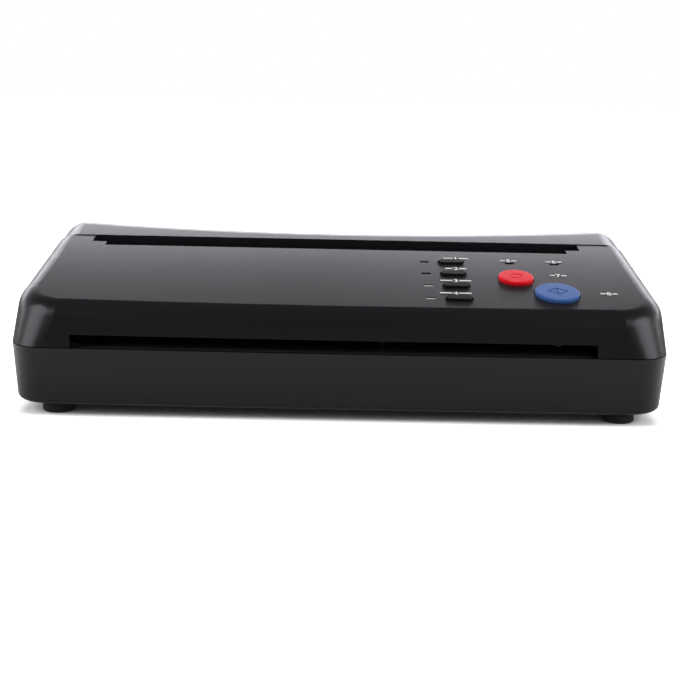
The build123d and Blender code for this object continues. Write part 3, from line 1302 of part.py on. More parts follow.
# ---------------------------------------------------------------- boards, inlet and power switch
def circuit_board(x, d, size, z, holes, node):
    with BuildPart() as board:
        with BuildSketch(Plane.XY.offset(z)):
            with Locations((x, fd(d))):
                Rectangle(*size)
            with Locations(*[(a, fd(b)) for a, b in holes]):
                Circle(SCREW_R + SCREW_SLACK, mode=Mode.SUBTRACT)
        extrude(amount=BOARD_THICK)
    finish(board, node)


MAIN_TOP_Z = FLOOR_Z + BOARD_BOSS_HEIGHT + BOARD_THICK
POWER_TOP_Z = FLOOR_Z + POWER_BOSS_HEIGHT + BOARD_THICK


def main_board_chips():
    """Processor, memory and motor driver, with two cans of the supply."""
    x, d = MAIN_BOARD_X, MAIN_BOARD_D
    with BuildPart() as chips:
        for dx, dd, wide, deep, high in (
            (-8, 4, 20, 20, 1.6), (22, 10, 14, 9, 1.8), (22, -6, 14, 9, 1.8), (-34, 8, 10, 16, 2.2), (-34, -14, 8, 8, 1.5),
        ):
            add(block(x + dx, d + dd, MAIN_TOP_Z, (wide, deep, high)))
        with BuildSketch(Plane.XY.offset(MAIN_TOP_Z)):
            with Locations((x + 44, fd(d - 16)), (x + 44, fd(d - 4))):
                Circle(4)
        extrude(amount=6)
    finish(chips, "main_board_chips")


def main_board_connectors():
    """Plug headers for the head, the scanner, the key board, the motor and the supply."""
    x, d = MAIN_BOARD_X, MAIN_BOARD_D
    with BuildPart() as headers:
        for dx, dd, wide, deep in ((-30, -27, 24, 5), (0, -27, 24, 5), (30, -27, 12, 5), (44, 20, 6, 14), (-54, 0, 6, 14)):
            add(block(x + dx, d + dd, MAIN_TOP_Z, (wide, deep, 5)))
            add(block(x + dx, d + dd, MAIN_TOP_Z + 1.5, (wide - 2, deep - 2, 5)), mode=Mode.SUBTRACT)
    finish(headers, "main_board_connectors")


def power_parts():
    """Transformer, bulk capacitors, choke and fuse of the power board."""
    x, d = POWER_BOARD_X, POWER_BOARD_D
    with BuildPart() as parts:
        add(block(x, d + 1, POWER_TOP_Z, (15, 20, 3)))
        add(block(x, d + 1, POWER_TOP_Z + 3, (12, 18, 11)))
        add(block(x, d + 1, POWER_TOP_Z + 14, (15, 20, 2)))
        with BuildSketch(Plane.XY.offset(POWER_TOP_Z)):
            with Locations((x, fd(d - 17))):
                Circle(6.2)
            with Locations((x + 2, fd(d - 27))):
                Circle(4)
        extrude(amount=16)
        add(block(x, d + 18, POWER_TOP_Z, (14, 9, 12)))
        add(block(x + 5, d + 29, POWER_TOP_Z, (5, 8, 6)))
    finish(parts, "power_parts")


PART_LENGTH = 14.0       # inlet and switch reach this far behind the niche
INLET_PINS = 7.2
INLET_CAVITY_R = 3.9
INLET_CAVITY = 12.0
INLET_PIN_R = 1.2
ROCKER_PIN_R = 1.0
ROCKER_ANGLE = 9.0       # the rocker leans this far to either side
ROCKER_DROP = 3.0        # its pivot lies this far behind the niche
ROCKER_WELL = (SWITCH_HOLE[0] - 2.4, SWITCH_HOLE[1] - 2.0)


def snap_in(d, bezel, hole, cavity):
    """Body of a snap-in part of the niche: its bezel outside, its body inside, open at the front."""
    with BuildPart() as body:
        with BuildSketch(Plane.YZ.offset(NICHE_X)):
            with Locations((fd(d), NICHE_Z)):
                RectangleRounded(*bezel, 1.2)
        extrude(amount=-BEZEL)
        with BuildSketch(Plane.YZ.offset(NICHE_X)):
            with Locations((fd(d), NICHE_Z)):
                RectangleRounded(*hole, 0.9)
        extrude(amount=PART_LENGTH)
        with BuildSketch(Plane.YZ.offset(NICHE_X - BEZEL)):
            with Locations((fd(d), NICHE_Z)):
                add(cavity)
        extrude(amount=INLET_CAVITY, mode=Mode.SUBTRACT)
    return body.part


def power_inlet():
    """Two-pin mains inlet with a figure-eight socket."""
    with BuildSketch() as socket:
        SlotCenterToCenter(INLET_PINS, 2 * INLET_CAVITY_R)
    with BuildPart() as inlet:
        add(snap_in(INLET_D, INLET_BEZEL, INLET_HOLE, socket.sketch))
        with BuildSketch(Plane.YZ.offset(NICHE_X - BEZEL + INLET_CAVITY)):
            with Locations(*[(fd(INLET_D + side * INLET_PINS / 2), NICHE_Z) for side in (-1, 1)]):
                Circle(INLET_PIN_R)
        extrude(amount=2 - INLET_CAVITY)
    finish(inlet, "power_inlet")


def along_y(d, z, r, length):
    """A round pin along Y, with its middle at d."""
    with BuildPart() as pin:
        with BuildSketch(Plane.XZ.offset(-fd(d) - length / 2)):
            with Locations((NICHE_X + ROCKER_DROP, z)):
                Circle(r)
        extrude(amount=length)
    return pin.part


def switch_body():
    """Housing of the power switch: a bezel and a well for the rocker, with two blades behind."""
    with BuildSketch() as well:
        Rectangle(*ROCKER_WELL)
    with BuildPart() as body:
        add(snap_in(SWITCH_D, SWITCH_BEZEL, SWITCH_HOLE, well.sketch))
        add(along_y(SWITCH_D, NICHE_Z, ROCKER_PIN_R + PIN_CLEARANCE, SWITCH_HOLE[0] + 1), mode=Mode.SUBTRACT)
        with BuildSketch(Plane.YZ.offset(NICHE_X + PART_LENGTH)):
            with Locations((fd(SWITCH_D), NICHE_Z - 3), (fd(SWITCH_D), NICHE_Z + 3)):
                Rectangle(4, 0.8)
        extrude(amount=5)
    finish(body, "switch_body")


def power_rocker():
    """Rocker of the power switch, standing in its off position."""
    half = ROCKER_WELL[1] / 2 - 1.1
    lean = radians(ROCKER_ANGLE)
    profile = [(2.0, -half), (-4.6, -half), (-3.6, 0), (-4.6, half), (2.0, half)]
    turned = [
        (NICHE_X + ROCKER_DROP + a * cos(lean) - b * sin(lean), NICHE_Z + a * sin(lean) + b * cos(lean))
        for a, b in profile
    ]
    with BuildPart() as rocker:
        with BuildSketch(Plane.XZ.offset(-fd(SWITCH_D) - ROCKER_WELL[0] / 2 + 0.25)):
            with BuildLine():
                Polyline(*turned, close=True)
            make_face()
        extrude(amount=ROCKER_WELL[0] - 0.5)
        add(along_y(SWITCH_D, NICHE_Z, ROCKER_PIN_R, SWITCH_HOLE[0] - 0.2))
    finish(rocker, "power_rocker")


# ---------------------------------------------------------------- levers and their sensors
def lever(x, centre, tip, tail, node):
    """Sheet lever: a flat arm from tip to tail with a round pin on each side."""
    reach = LEVER_WIDTH / 2 + LEVER_SIDE_GAP + EAR_THICK
    ends = [tip, tail]
    with BuildPart() as arm:
        with BuildSketch(Plane.YZ.offset(x - LEVER_WIDTH / 2)) as flat:
            with Locations((fd(centre[0]), centre[1])):
                Circle(2.3)
            for end in ends:
                a = atan2(end[1] - centre[1], end[0] - centre[0])
                wide, thin = 1.5, 0.9
                with BuildLine():
                    Polyline(
                        (fd(centre[0]) - wide * sin(a), centre[1] + wide * cos(a)),
                        (fd(centre[0]) + wide * sin(a), centre[1] - wide * cos(a)),
                        (fd(end[0]) + thin * sin(a), end[1] - thin * cos(a)),
                        (fd(end[0]) - thin * sin(a), end[1] + thin * cos(a)), close=True,
                    )
                make_face()
        extrude(amount=LEVER_WIDTH)
        add(rod(x - reach, centre, LEVER_PIN_R, 2 * reach))
    finish(arm, node)


DOC_TIP = (DOC_LEVER_D - 1.6, 33.0)
DOC_TAIL = (DOC_LEVER_D + 6.0, 13.0)
STENCIL_TIP = (79.0, 56.0)
STENCIL_TAIL = (59.0, 50.5)


GATE = (11.0, 5.5, 7.0)
GATE_BRIDGE = 0.8


def light_gate(x, d, z, bridge, node):
    """Fork-shaped light gate that a lever's tail passes through, with its bridge at one end."""
    with BuildPart() as gate:
        add(block(x, d, z, GATE))
        add(block(x, d, z + bridge, (4.4, 6, GATE[2] - GATE_BRIDGE)), mode=Mode.SUBTRACT)
    finish(gate, node)


# ---------------------------------------------------------------- pins, clips and screws
def hinge_pins():
    """Two steel pins through the ears and knuckles."""
    long = HINGE_EAR + 0.6 + HINGE_EAR + 0.6
    with BuildPart() as pins:
        for side in (-1, 1):
            add(rod(side * (HINGE_X - HINGE_EAR / 2), (HINGE_D, HINGE_Z), PIN_R, side * long))
            add(rod(side * (HINGE_X - HINGE_EAR / 2), (HINGE_D, HINGE_Z), PIN_R + 1, -side))
    finish(pins, "hinge_pins")


def catch_clips():
    """Spring steel clips that grip the cover's blades."""
    bottom = CLIP_Z - CLIP_HEIGHT
    inner = CATCH_BEAD_R + 0.35
    with BuildPart() as clips:
        for side in (-1, 1):
            x = side * CATCH_X
            add(block(x, CATCH_D, bottom, (2 * inner + 1, CLIP_DEPTH - 2, 0.5)))
            for way in (-1, 1):
                with BuildSketch(Plane.XZ.offset(-fd(CATCH_D) - (CLIP_DEPTH - 2) / 2)):
                    with BuildLine():
                        Polyline(
                            (x + way * inner, bottom), (x + way * inner, CLIP_Z), (x + way * (inner + 1.2), CLIP_Z + 2),
                            (x + way * (inner + 1.7), CLIP_Z + 2), (x + way * (inner + 0.5), CLIP_Z),
                            (x + way * (inner + 0.5), bottom), close=True,
                        )
                    make_face()
                extrude(amount=CLIP_DEPTH - 2)
    finish(clips, "catch_clips")


SHANK_GAP = 0.04


def screw(under, depth, up):
    """A pan-head screw whose head sits on a plane; up turns it to drive along the plane's normal."""
    with BuildPart() as body:
        with BuildSketch(under):
            Circle(SCREW_HEAD_R)
        extrude(amount=-up * SCREW_HEAD)
        with BuildSketch(under):
            Circle(SCREW_R - SHANK_GAP)
        extrude(amount=up * depth)
        with BuildSketch(under.offset(-up * SCREW_HEAD)):
            Rectangle(2.6, 0.6)
            Rectangle(0.6, 2.6)
        extrude(amount=up * 0.8, mode=Mode.SUBTRACT)
    return body.part


def base_screws():
    """Screws of the frames, the motor bracket and both boards, driven down into the floor's bosses."""
    with BuildPart() as screws:
        for places, top in (
            (FRAME_BOSSES + BRACKET_BOSSES, FRAME_FOOT_Z + SHEET), (MAIN_BOSSES, MAIN_TOP_Z), (POWER_BOSSES, POWER_TOP_Z),
        ):
            for x, d in places:
                add(screw(Plane.XY.offset(top).shift_origin((x, fd(d), top)), SHEET + 2.2, -1))
    finish(screws, "base_screws")


def cover_screws():
    """Screws of the key board, the paper guide and the head's bracket, driven up into the cover."""
    with BuildPart() as screws:
        for x, s in PANEL_BOSSES:
            under = PANEL.offset(-BOARD_DROP - BOARD_THICK)
            under.origin = under.from_local_coords((x, s, 0))
            add(screw(under, BOARD_THICK + 3.5, 1))
        for x, d in GUIDE_BOSSES:
            add(screw(Plane((x, fd(d), GUIDE_TOP_Z - GUIDE_THICK)), GUIDE_THICK + 3.5, 1))
        for x, d in HEAD_BOSSES:
            add(screw(Plane((x, fd(d), HEAD_TOP_Z - SHEET)), SHEET + 3.5, 1))
    finish(screws, "cover_screws")


# ---------------------------------------------------------------- build everything
def main():
    os.makedirs("parts", exist_ok=True)
    lower_case()
    rubber_feet()
    upper_cover()
    side_frame(FRAME_LEFT, -1, [], "left_frame")
    side_frame(FRAME_RIGHT, 1, [IDLER, REDUCTION], "right_frame")
    roller_bushes()
    roller("document", DOC, DOC_R, GEAR_X + GEAR_WIDTH + 0.2)
    roller("platen", PLATEN, PLATEN_R, GEAR_X + GEAR_WIDTH + 0.2)
    spur_gear(DOC, DOC_TEETH, DOC_PHASE, SHAFT_R + FIT, HUB_START, "document_gear")
    spur_gear(PLATEN, PLATEN_TEETH, PLATEN_PHASE, SHAFT_R + FIT, HUB_START, "platen_gear")
    spur_gear(IDLER, IDLER_TEETH, IDLER_PHASE, STUD_R + RUN_CLEARANCE, STUD_HUB_START, "idler_gear")
    reduction_gear()
    gear_studs()
    motor_bracket()
    stepper_motor()
    motor_pinion()
    entry_guide()
    transfer_guide()
    stencil_exit_guide()
    stencil_guide()
    upper_guide()
    scanner_housing()
    scanner_glass()
    leaf_springs(SCANNER_BOSSES, SCANNER_TOP_Z + SPRING_RISE, SCANNER_TOP_Z, "scanner_springs")
    head_bracket()
    head_heat_sink()
    thermal_head()
    head_driver_cover()
    leaf_springs([(PATH_X + x, HEAD_D + 1) for x in (-50, 50)], HEAD_TOP_Z - SHEET, SINK_TOP_Z, "head_springs")
    button(STOP_X, STOP_S, STOP_R, stop_mark(), "stop_button")
    button(COPY_X, COPY_S, COPY_R, start_mark(), "copy_button")
    for number, s in enumerate(KEY_PLACES, 1):
        key(s, f"key_{number}")
    key_board()
    key_switches()
    led_lamps()
    led_windows()
    circuit_board(MAIN_BOARD_X, MAIN_BOARD_D, MAIN_BOARD_SIZE, MAIN_TOP_Z - BOARD_THICK, MAIN_BOSSES, "main_board")
    main_board_chips()
    main_board_connectors()
    circuit_board(
        POWER_BOARD_X, POWER_BOARD_D, POWER_BOARD_SIZE, POWER_TOP_Z - BOARD_THICK, POWER_BOSSES, "power_board"
    )
    power_parts()
    power_inlet()
    switch_body()
    power_rocker()
    lever(DOC_LEVER_X, (DOC_LEVER_D, DOC_LEVER_Z), DOC_TIP, DOC_TAIL, "document_lever")
    lever(STENCIL_LEVER_X, (STENCIL_LEVER_D, STENCIL_LEVER_Z), STENCIL_TIP, STENCIL_TAIL, "stencil_lever")
    light_gate(DOC_LEVER_X, DOC_TAIL[0] + 1, FLOOR_Z, GATE_BRIDGE, "document_sensor")
    light_gate(STENCIL_LEVER_X, STENCIL_TAIL[0] - 0.6, 48.4, 0, "stencil_sensor")
    hinge_pins()
    catch_clips()
    base_screws()
    cover_screws()


main()
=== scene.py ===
import math

import bpy
from bpy.props import FloatProperty, FloatVectorProperty, PointerProperty
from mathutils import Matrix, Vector
from mathutils.bvhtree import BVHTree


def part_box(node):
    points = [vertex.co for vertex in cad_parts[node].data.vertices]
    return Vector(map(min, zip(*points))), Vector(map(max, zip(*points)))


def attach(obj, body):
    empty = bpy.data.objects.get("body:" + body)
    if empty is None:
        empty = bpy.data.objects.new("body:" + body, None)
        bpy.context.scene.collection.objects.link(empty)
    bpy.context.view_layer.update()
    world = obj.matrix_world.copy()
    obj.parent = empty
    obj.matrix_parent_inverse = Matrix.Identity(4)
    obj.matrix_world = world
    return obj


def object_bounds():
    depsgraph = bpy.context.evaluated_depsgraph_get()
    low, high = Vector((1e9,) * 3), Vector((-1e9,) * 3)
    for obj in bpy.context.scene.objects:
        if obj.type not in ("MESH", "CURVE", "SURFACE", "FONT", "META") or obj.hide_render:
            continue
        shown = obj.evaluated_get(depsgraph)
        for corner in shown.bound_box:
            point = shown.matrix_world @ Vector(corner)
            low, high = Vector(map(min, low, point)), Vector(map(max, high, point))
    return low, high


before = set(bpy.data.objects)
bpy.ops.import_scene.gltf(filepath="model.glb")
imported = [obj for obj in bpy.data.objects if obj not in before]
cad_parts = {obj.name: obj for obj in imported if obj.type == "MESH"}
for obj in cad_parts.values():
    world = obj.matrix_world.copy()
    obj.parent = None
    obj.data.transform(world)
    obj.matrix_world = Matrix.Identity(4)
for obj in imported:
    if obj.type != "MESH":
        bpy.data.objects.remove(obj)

CAD_LOW, CAD_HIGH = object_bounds()

bl_info = {
    "name": "Thermal stencil copier",
    "version": (1, 0, 0),
    "blender": (4, 5, 0),
    "location": "3D View > Sidebar > Copier",
    "description": "Finishes, printed numbers, window tips and studio for the stencil copier",
    "category": "Object",
}

MM = 0.001

# Where each number is printed: the control it stands by, and in mm how far it lies right of and
# behind that control's middle, and the whole width of the mark with its two rules.
NUMBERS = (
    ("key_4", 2.7, 3.83, 11.5),
    ("key_3", 1.6, 5.19, 9.5),
    ("key_2", 0.3, 4.86, 13.5),
    ("key_1", -1.0, 4.83, 13.5),
    ("stop_button", -0.4, 20.19, 7.5),
    ("stop_button", 20.4, 19.89, 7.5),
    ("stop_button", 19.4, 3.79, 7.5),
    ("copy_button", 22.3, 0.5, 7.5),
)

# The keys whose lamp windows have a pale tip, a painted highlight for the bright line along these
# windows, and where the tip lies from the key's middle in mm.
PALE_KEYS = ("key_2", "key_1")
TIP_RIGHT, TIP_BEHIND = -12.0, -0.35


# ---------------------------------------------------------------- finishes

# How far a pattern's marks are drawn out along X, Y and Z, and how much finer detail they hold.
SPECKS = ((1, 1, 1), 2.0)
CLOUDS = ((1, 1, 1), 0.0)
LINES_ALONG_X = ((60, 1, 1), 2.0)
LINES_ALONG_Y = ((1, 60, 1), 2.0)
RINGS_ROUND_X = ((1, 40, 40), 1.0)

# A pattern of marks hardly leaves this stretch of its 0 to 1, so a sheen sways over it alone.
PATTERN_LOW, PATTERN_HIGH = 0.35, 0.65

# How wide the streams are that a melt leaves in a moulded sheen.
MELT_RUN = 60 * MM

# How far a colour darkens and brightens with its pattern.
DARKER, BRIGHTER = 0.9, 1.1

# Where a Mix node keeps its factor, its two colours, the mixed colour, and its two numbers.
FACTOR, COLOUR_A, COLOUR_B, MIXED, NUMBER_A, NUMBER_B = 0, 6, 7, 2, 2, 3


def srgb(code):
    """Turn a six-figure sRGB colour into linear red, green, blue and alpha."""
    parts = [int(code[i:i + 2], 16) / 255 for i in (0, 2, 4)]
    linear = [p / 12.92 if p <= 0.04045 else ((p + 0.055) / 1.055) ** 2.4 for p in parts]
    return (*linear, 1.0)


def shade(colour, amount):
    """The same colour, lighter or darker."""
    return (*(min(1.0, c * amount) for c in colour[:3]), 1.0)


def node(tree, kind, inputs=None, **settings):
    """Add one node. An input given as a socket is linked to it, any other value is set on it."""
    made = tree.nodes.new(kind)
    for name, value in settings.items():
        setattr(made, name, value)
    for key, value in (inputs or {}).items():
        if isinstance(value, bpy.types.NodeSocket):
            tree.links.new(value, made.inputs[key])
        else:
            made.inputs[key].default_value = value
    return made


def start(name):
    """An empty material, its tree, and the piece's own coordinates in metres."""
    made = bpy.data.materials.new(name)
    made.use_nodes = True
    made.node_tree.nodes.clear()
    place = node(made.node_tree, "ShaderNodeTexCoord").outputs["Object"]
    return made, made.node_tree, place


def marks(tree, place, size, kind=SPECKS):
    """A pattern of uneven marks, each about as wide as size, in metres."""
    drawn_out, detail = kind
    sized = node(tree, "ShaderNodeMapping", {
        "Vector": place, "Scale": [1 / (size * far) for far in drawn_out]})
    noise = node(tree, "ShaderNodeTexNoise", {
        "Vector": sized.outputs[0], "Scale": 1.0, "Detail": detail})
    return noise.outputs["Fac"]


def marked(name, colours, roughness, kind, size, depth, **more):
    """A worked surface: its colour, its sheen and its relief all follow the marks of the work.

    Colours and roughness are pairs, for the lowest and the highest of the marks.
    """
    made, tree, place = start(name)
    pattern = marks(tree, place, size, kind)
    tone = node(tree, "ShaderNodeMix", {
        FACTOR: pattern, COLOUR_A: colours[0], COLOUR_B: colours[1]}, data_type="RGBA")
    sheen = node(tree, "ShaderNodeMapRange", {
        "Value": pattern, "From Min": PATTERN_LOW, "From Max": PATTERN_HIGH,
        "To Min": roughness[0], "To Max": roughness[1]})
    relief = node(tree, "ShaderNodeBump", {
        "Height": pattern, "Strength": 1.0, "Distance": depth})
    skin = node(tree, "ShaderNodeBsdfPrincipled", {
        "Base Color": tone.outputs[MIXED], "Roughness": sheen.outputs["Result"],
        "Normal": relief.outputs[0], **more})
    node(tree, "ShaderNodeOutputMaterial", {"Surface": skin.outputs[0]})
    return made


def worked_metal(name, colour, roughness, kind, size, depth):
    """A bare or plated metal with the marks of its working."""
    sway = 0.06
    return marked(name, (shade(colour, DARKER), shade(colour, BRIGHTER)),
                  (roughness - sway, roughness + sway), kind, size, depth, Metallic=1.0)


def moulded(name, colour, roughness, grain, depth, specular=0.5, **more):
    """A moulded skin: pits of a real size, and a slow drift of the sheen where the melt ran."""
    made, tree, place = start(name)
    pits = marks(tree, place, grain)
    drift = marks(tree, place, MELT_RUN, CLOUDS)
    sway = 0.03
    tone = node(tree, "ShaderNodeMix", {
        FACTOR: pits, COLOUR_A: shade(colour, DARKER), COLOUR_B: shade(colour, BRIGHTER)},
        data_type="RGBA")
    # Over the drift's whole 0 to 1, so that it is never cut off and draws no contour lines.
    sheen = node(tree, "ShaderNodeMapRange", {
        "Value": drift, "To Min": roughness - sway, "To Max": roughness + sway})
    relief = node(tree, "ShaderNodeBump", {"Height": pits, "Strength": 1.0, "Distance": depth})
    skin = node(tree, "ShaderNodeBsdfPrincipled", {
        "Base Color": tone.outputs[MIXED], "Roughness": sheen.outputs["Result"],
        "Specular IOR Level": specular, "Normal": relief.outputs[0], **more})
    node(tree, "ShaderNodeOutputMaterial", {"Surface": skin.outputs[0]})
    return made


def case_black(looks):
    """Black ABS from a spark-eroded tool: satin, dark face on and milky at a flat angle.

    The real pits are about 0.1 mm across and are drawn at the size set for the case, so they show.
    """
    return moulded("Spark-eroded black ABS", looks.case_colour, looks.case_roughness,
                   grain=looks.case_grain, depth=0.0022 * MM, specular=0.22,
                   **{"Specular Tint": srgb("f6f6ff")})


def guide_grey():
    """Dark grey ABS polished along the paper's way: paler than the case, with fine long lines."""
    return marked("Polished dark grey ABS", (srgb("303032"), srgb("3c3c3f")), (0.28, 0.36),
                  LINES_ALONG_Y, 0.35 * MM, 0.003 * MM)


def ground_rubber():
    """Silicone rubber ground true on its shaft: dark grey, matt, with faint grinding rings."""
    return marked("Ground silicone rubber", (srgb("2a2a2b"), srgb("343436")), (0.58, 0.7),
                  RINGS_ROUND_X, 0.5 * MM, 0.006 * MM, **{"Specular IOR Level": 0.4})


def print_white():
    """Pad-printed white ink: thin and matt, a little uneven in its cover."""
    return marked("Pad-printed white ink", (srgb("d9d9d8"), srgb("f0f0ee")), (0.5, 0.62),
                  SPECKS, 0.25 * MM, 0.0005 * MM)


def zinc_sheet():
    """Blanked steel sheet with bright zinc plating: bluish grey, with faint crystals 2 mm wide."""
    made, tree, place = start("Zinc-plated steel sheet")
    crystals = node(tree, "ShaderNodeTexVoronoi", {
        "Vector": place, "Scale": 1 / (2.2 * MM)}).outputs["Color"]
    rolled = marks(tree, place, 0.3 * MM, LINES_ALONG_Y)
    tone = node(tree, "ShaderNodeMix", {
        FACTOR: crystals, COLOUR_A: srgb("a4aab0"), COLOUR_B: srgb("bfc4c8")}, data_type="RGBA")
    relief = node(tree, "ShaderNodeBump", {
        "Height": rolled, "Strength": 1.0, "Distance": 0.003 * MM})
    each = node(tree, "ShaderNodeSeparateColor", {"Color": crystals})
    sheen = node(tree, "ShaderNodeMapRange", {
        "Value": each.outputs["Red"], "To Min": 0.30, "To Max": 0.44})
    skin = node(tree, "ShaderNodeBsdfPrincipled", {
        "Base Color": tone.outputs[MIXED], "Metallic": 1.0, "Normal": relief.outputs[0],
        "Roughness": sheen.outputs["Result"]})
    node(tree, "ShaderNodeOutputMaterial", {"Surface": skin.outputs[0]})
    return made


def board_green():
    """Glass laminate under green solder mask: paler over its copper, tinned pads, buff edges."""
    made, tree, place = start("Green solder mask on laminate")
    # Copper runs 17 mm long and 2.5 mm apart, in shares of the brick pattern's 9 mm.
    tracks = node(tree, "ShaderNodeTexBrick", {
        "Vector": place, "Scale": 1 / (9.0 * MM), "Color1": srgb("0d4a2c"),
        "Color2": srgb("10563a"), "Mortar": srgb("1f7d4c"), "Mortar Size": 0.05,
        "Mortar Smooth": 0.1, "Brick Width": 1.9, "Row Height": 0.28}, offset=0.37)
    # Round pads 1.1 mm wide and about 4 mm apart.
    pads = node(tree, "ShaderNodeTexVoronoi", {
        "Vector": place, "Scale": 1 / (4.2 * MM), "Randomness": 0.75}, voronoi_dimensions="2D")
    tinned = node(tree, "ShaderNodeMath", {
        0: pads.outputs["Distance"], 1: 0.13}, operation="LESS_THAN").outputs[0]
    # Faces that look less than half up or down are the laminate's sawn edges.
    way = node(tree, "ShaderNodeSeparateXYZ", {
        "Vector": node(tree, "ShaderNodeTexCoord").outputs["Normal"]})
    flat = node(tree, "ShaderNodeMath", {0: way.outputs["Z"]}, operation="ABSOLUTE")
    edge = node(tree, "ShaderNodeMath", {0: flat.outputs[0], 1: 0.5}, operation="LESS_THAN")
    masked = node(tree, "ShaderNodeMix", {
        FACTOR: tinned, COLOUR_A: tracks.outputs["Color"], COLOUR_B: srgb("c6c7c4")},
        data_type="RGBA")
    tone = node(tree, "ShaderNodeMix", {
        FACTOR: edge.outputs[0], COLOUR_A: masked.outputs[MIXED], COLOUR_B: srgb("a99a5e")},
        data_type="RGBA")
    sheen = node(tree, "ShaderNodeMapRange", {"Value": tinned, "To Min": 0.22, "To Max": 0.34})
    skin = node(tree, "ShaderNodeBsdfPrincipled", {
        "Base Color": tone.outputs[MIXED], "Metallic": tinned,
        "Roughness": sheen.outputs["Result"]})
    node(tree, "ShaderNodeOutputMaterial", {"Surface": skin.outputs[0]})
    return made


def head_ceramic():
    """Glazed alumina: white and glassy, with the dark heater line along its crown."""
    made, tree, place = start("Glazed alumina")
    low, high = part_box("thermal_head")
    half_line = 0.4 * MM
    across = node(tree, "ShaderNodeSeparateXYZ", {"Vector": place})
    off = node(tree, "ShaderNodeMath", {
        0: across.outputs["Y"], 1: (low.y + high.y) / 2}, operation="SUBTRACT")
    away = node(tree, "ShaderNodeMath", {0: off.outputs[0]}, operation="ABSOLUTE")
    heater = node(tree, "ShaderNodeMath", {
        0: away.outputs[0], 1: half_line}, operation="LESS_THAN")
    grain = marks(tree, place, 0.6 * MM)
    white = node(tree, "ShaderNodeMix", {
        FACTOR: grain, COLOUR_A: srgb("ded9cf"), COLOUR_B: srgb("ebe7de")}, data_type="RGBA")
    tone = node(tree, "ShaderNodeMix", {
        FACTOR: heater.outputs[0], COLOUR_A: white.outputs[MIXED], COLOUR_B: srgb("4a3a2c")},
        data_type="RGBA")
    sheen = node(tree, "ShaderNodeMapRange", {
        "Value": grain, "From Min": PATTERN_LOW, "From Max": PATTERN_HIGH,
        "To Min": 0.10, "To Max": 0.18})
    skin = node(tree, "ShaderNodeBsdfPrincipled", {
        "Base Color": tone.outputs[MIXED], "Roughness": sheen.outputs["Result"]})
    node(tree, "ShaderNodeOutputMaterial", {"Surface": skin.outputs[0]})
    return made


def scanner_pane():
    """Float glass: clear with a faint green body, and a wiped, slightly uneven gloss."""
    made, tree, place = start("Float glass")
    wiped = marks(tree, place, 1.5 * MM, LINES_ALONG_X)
    sheen = node(tree, "ShaderNodeMapRange", {
        "Value": wiped, "From Min": PATTERN_LOW, "From Max": PATTERN_HIGH,
        "To Min": 0.01, "To Max": 0.05})
    skin = node(tree, "ShaderNodeBsdfPrincipled", {
        "Base Color": srgb("e6f2ec"), "Transmission Weight": 1.0, "IOR": 1.52,
        "Roughness": sheen.outputs["Result"]})
    node(tree, "ShaderNodeOutputMaterial", {"Surface": skin.outputs[0]})
    return made


def coat(finish, *names):
    """Put a finish on every material slot of these CAD nodes."""
    for name in names:
        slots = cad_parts[name].material_slots
        if not slots:
            raise RuntimeError(f"{name} has no material slot")
        for place in slots:
            place.material = finish


# ---------------------------------------------------------------- modelling

def alone(piece):
    """Select one object and nothing else, and make it the active one."""
    bpy.ops.object.select_all(action="DESELECT")
    piece.select_set(True)
    bpy.context.view_layer.objects.active = piece


def settle(piece, name, finish, body):
    """Name a finished piece, bake its place into its mesh, and let it ride on its body."""
    alone(piece)
    bpy.ops.object.transform_apply(location=True, rotation=True, scale=True)
    piece.name = name
    piece.data.name = name
    piece.data.materials.clear()
    piece.data.materials.append(finish)
    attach(piece, body)
    return piece


def skin_of(name):
    """A search tree over a CAD node's faces."""
    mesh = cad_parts[name].data
    corners = [v.co for v in mesh.vertices]
    return BVHTree.FromPolygons(corners, [p.vertices for p in mesh.polygons])


def beside(name, right, behind):
    """The x and y of a place so many mm right of and behind the middle of a CAD node."""
    low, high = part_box(name)
    return (low + high).xy / 2 + Vector((right, behind)) * MM


def stand_on(piece, skin, spot, height):
    """Stand a piece where a plumb line at a spot meets the top of a CAD node's skin.

    The piece's Z turns to the skin's normal, and its middle stands the height above the skin.
    """
    above = Vector((*spot, CAD_HIGH.z + 10 * MM))
    point, normal, _, _ = skin.ray_cast(above, Vector((0, 0, -1)))
    if point is None:
        raise RuntimeError(f"nothing lies under x {spot.x}, y {spot.y}")
    piece.rotation_mode = "QUATERNION"
    piece.rotation_quaternion = Vector((0, 0, 1)).rotation_difference(normal)
    piece.location = point + normal * height


def rounded_bar(size, rounding, segments, place=(0, 0, 0)):
    """A bar with all its edges rounded."""
    bpy.ops.object.select_all(action="DESELECT")
    bpy.ops.mesh.primitive_cube_add(size=1, location=place)
    bar = bpy.context.object
    bar.scale = size
    bpy.ops.object.transform_apply(location=True, rotation=True, scale=True)
    bpy.ops.object.mode_set(mode="EDIT")
    bpy.ops.mesh.select_all(action="SELECT")
    bpy.ops.mesh.bevel(offset=rounding, segments=segments, affect="EDGES")
    bpy.ops.object.mode_set(mode="OBJECT")
    return bar


def window_tip(skin, spot, sizes):
    """A shallow pale tip on top of a light guide, just below the panel's face: a painted
    highlight.
    """
    tall = sizes.tip[2]
    tip = rounded_bar(sizes.tip, rounding=tall * 0.4, segments=4)
    bpy.ops.object.shade_smooth_by_angle(angle=math.radians(40))
    stand_on(tip, skin, spot, height=tall / 2)
    return tip


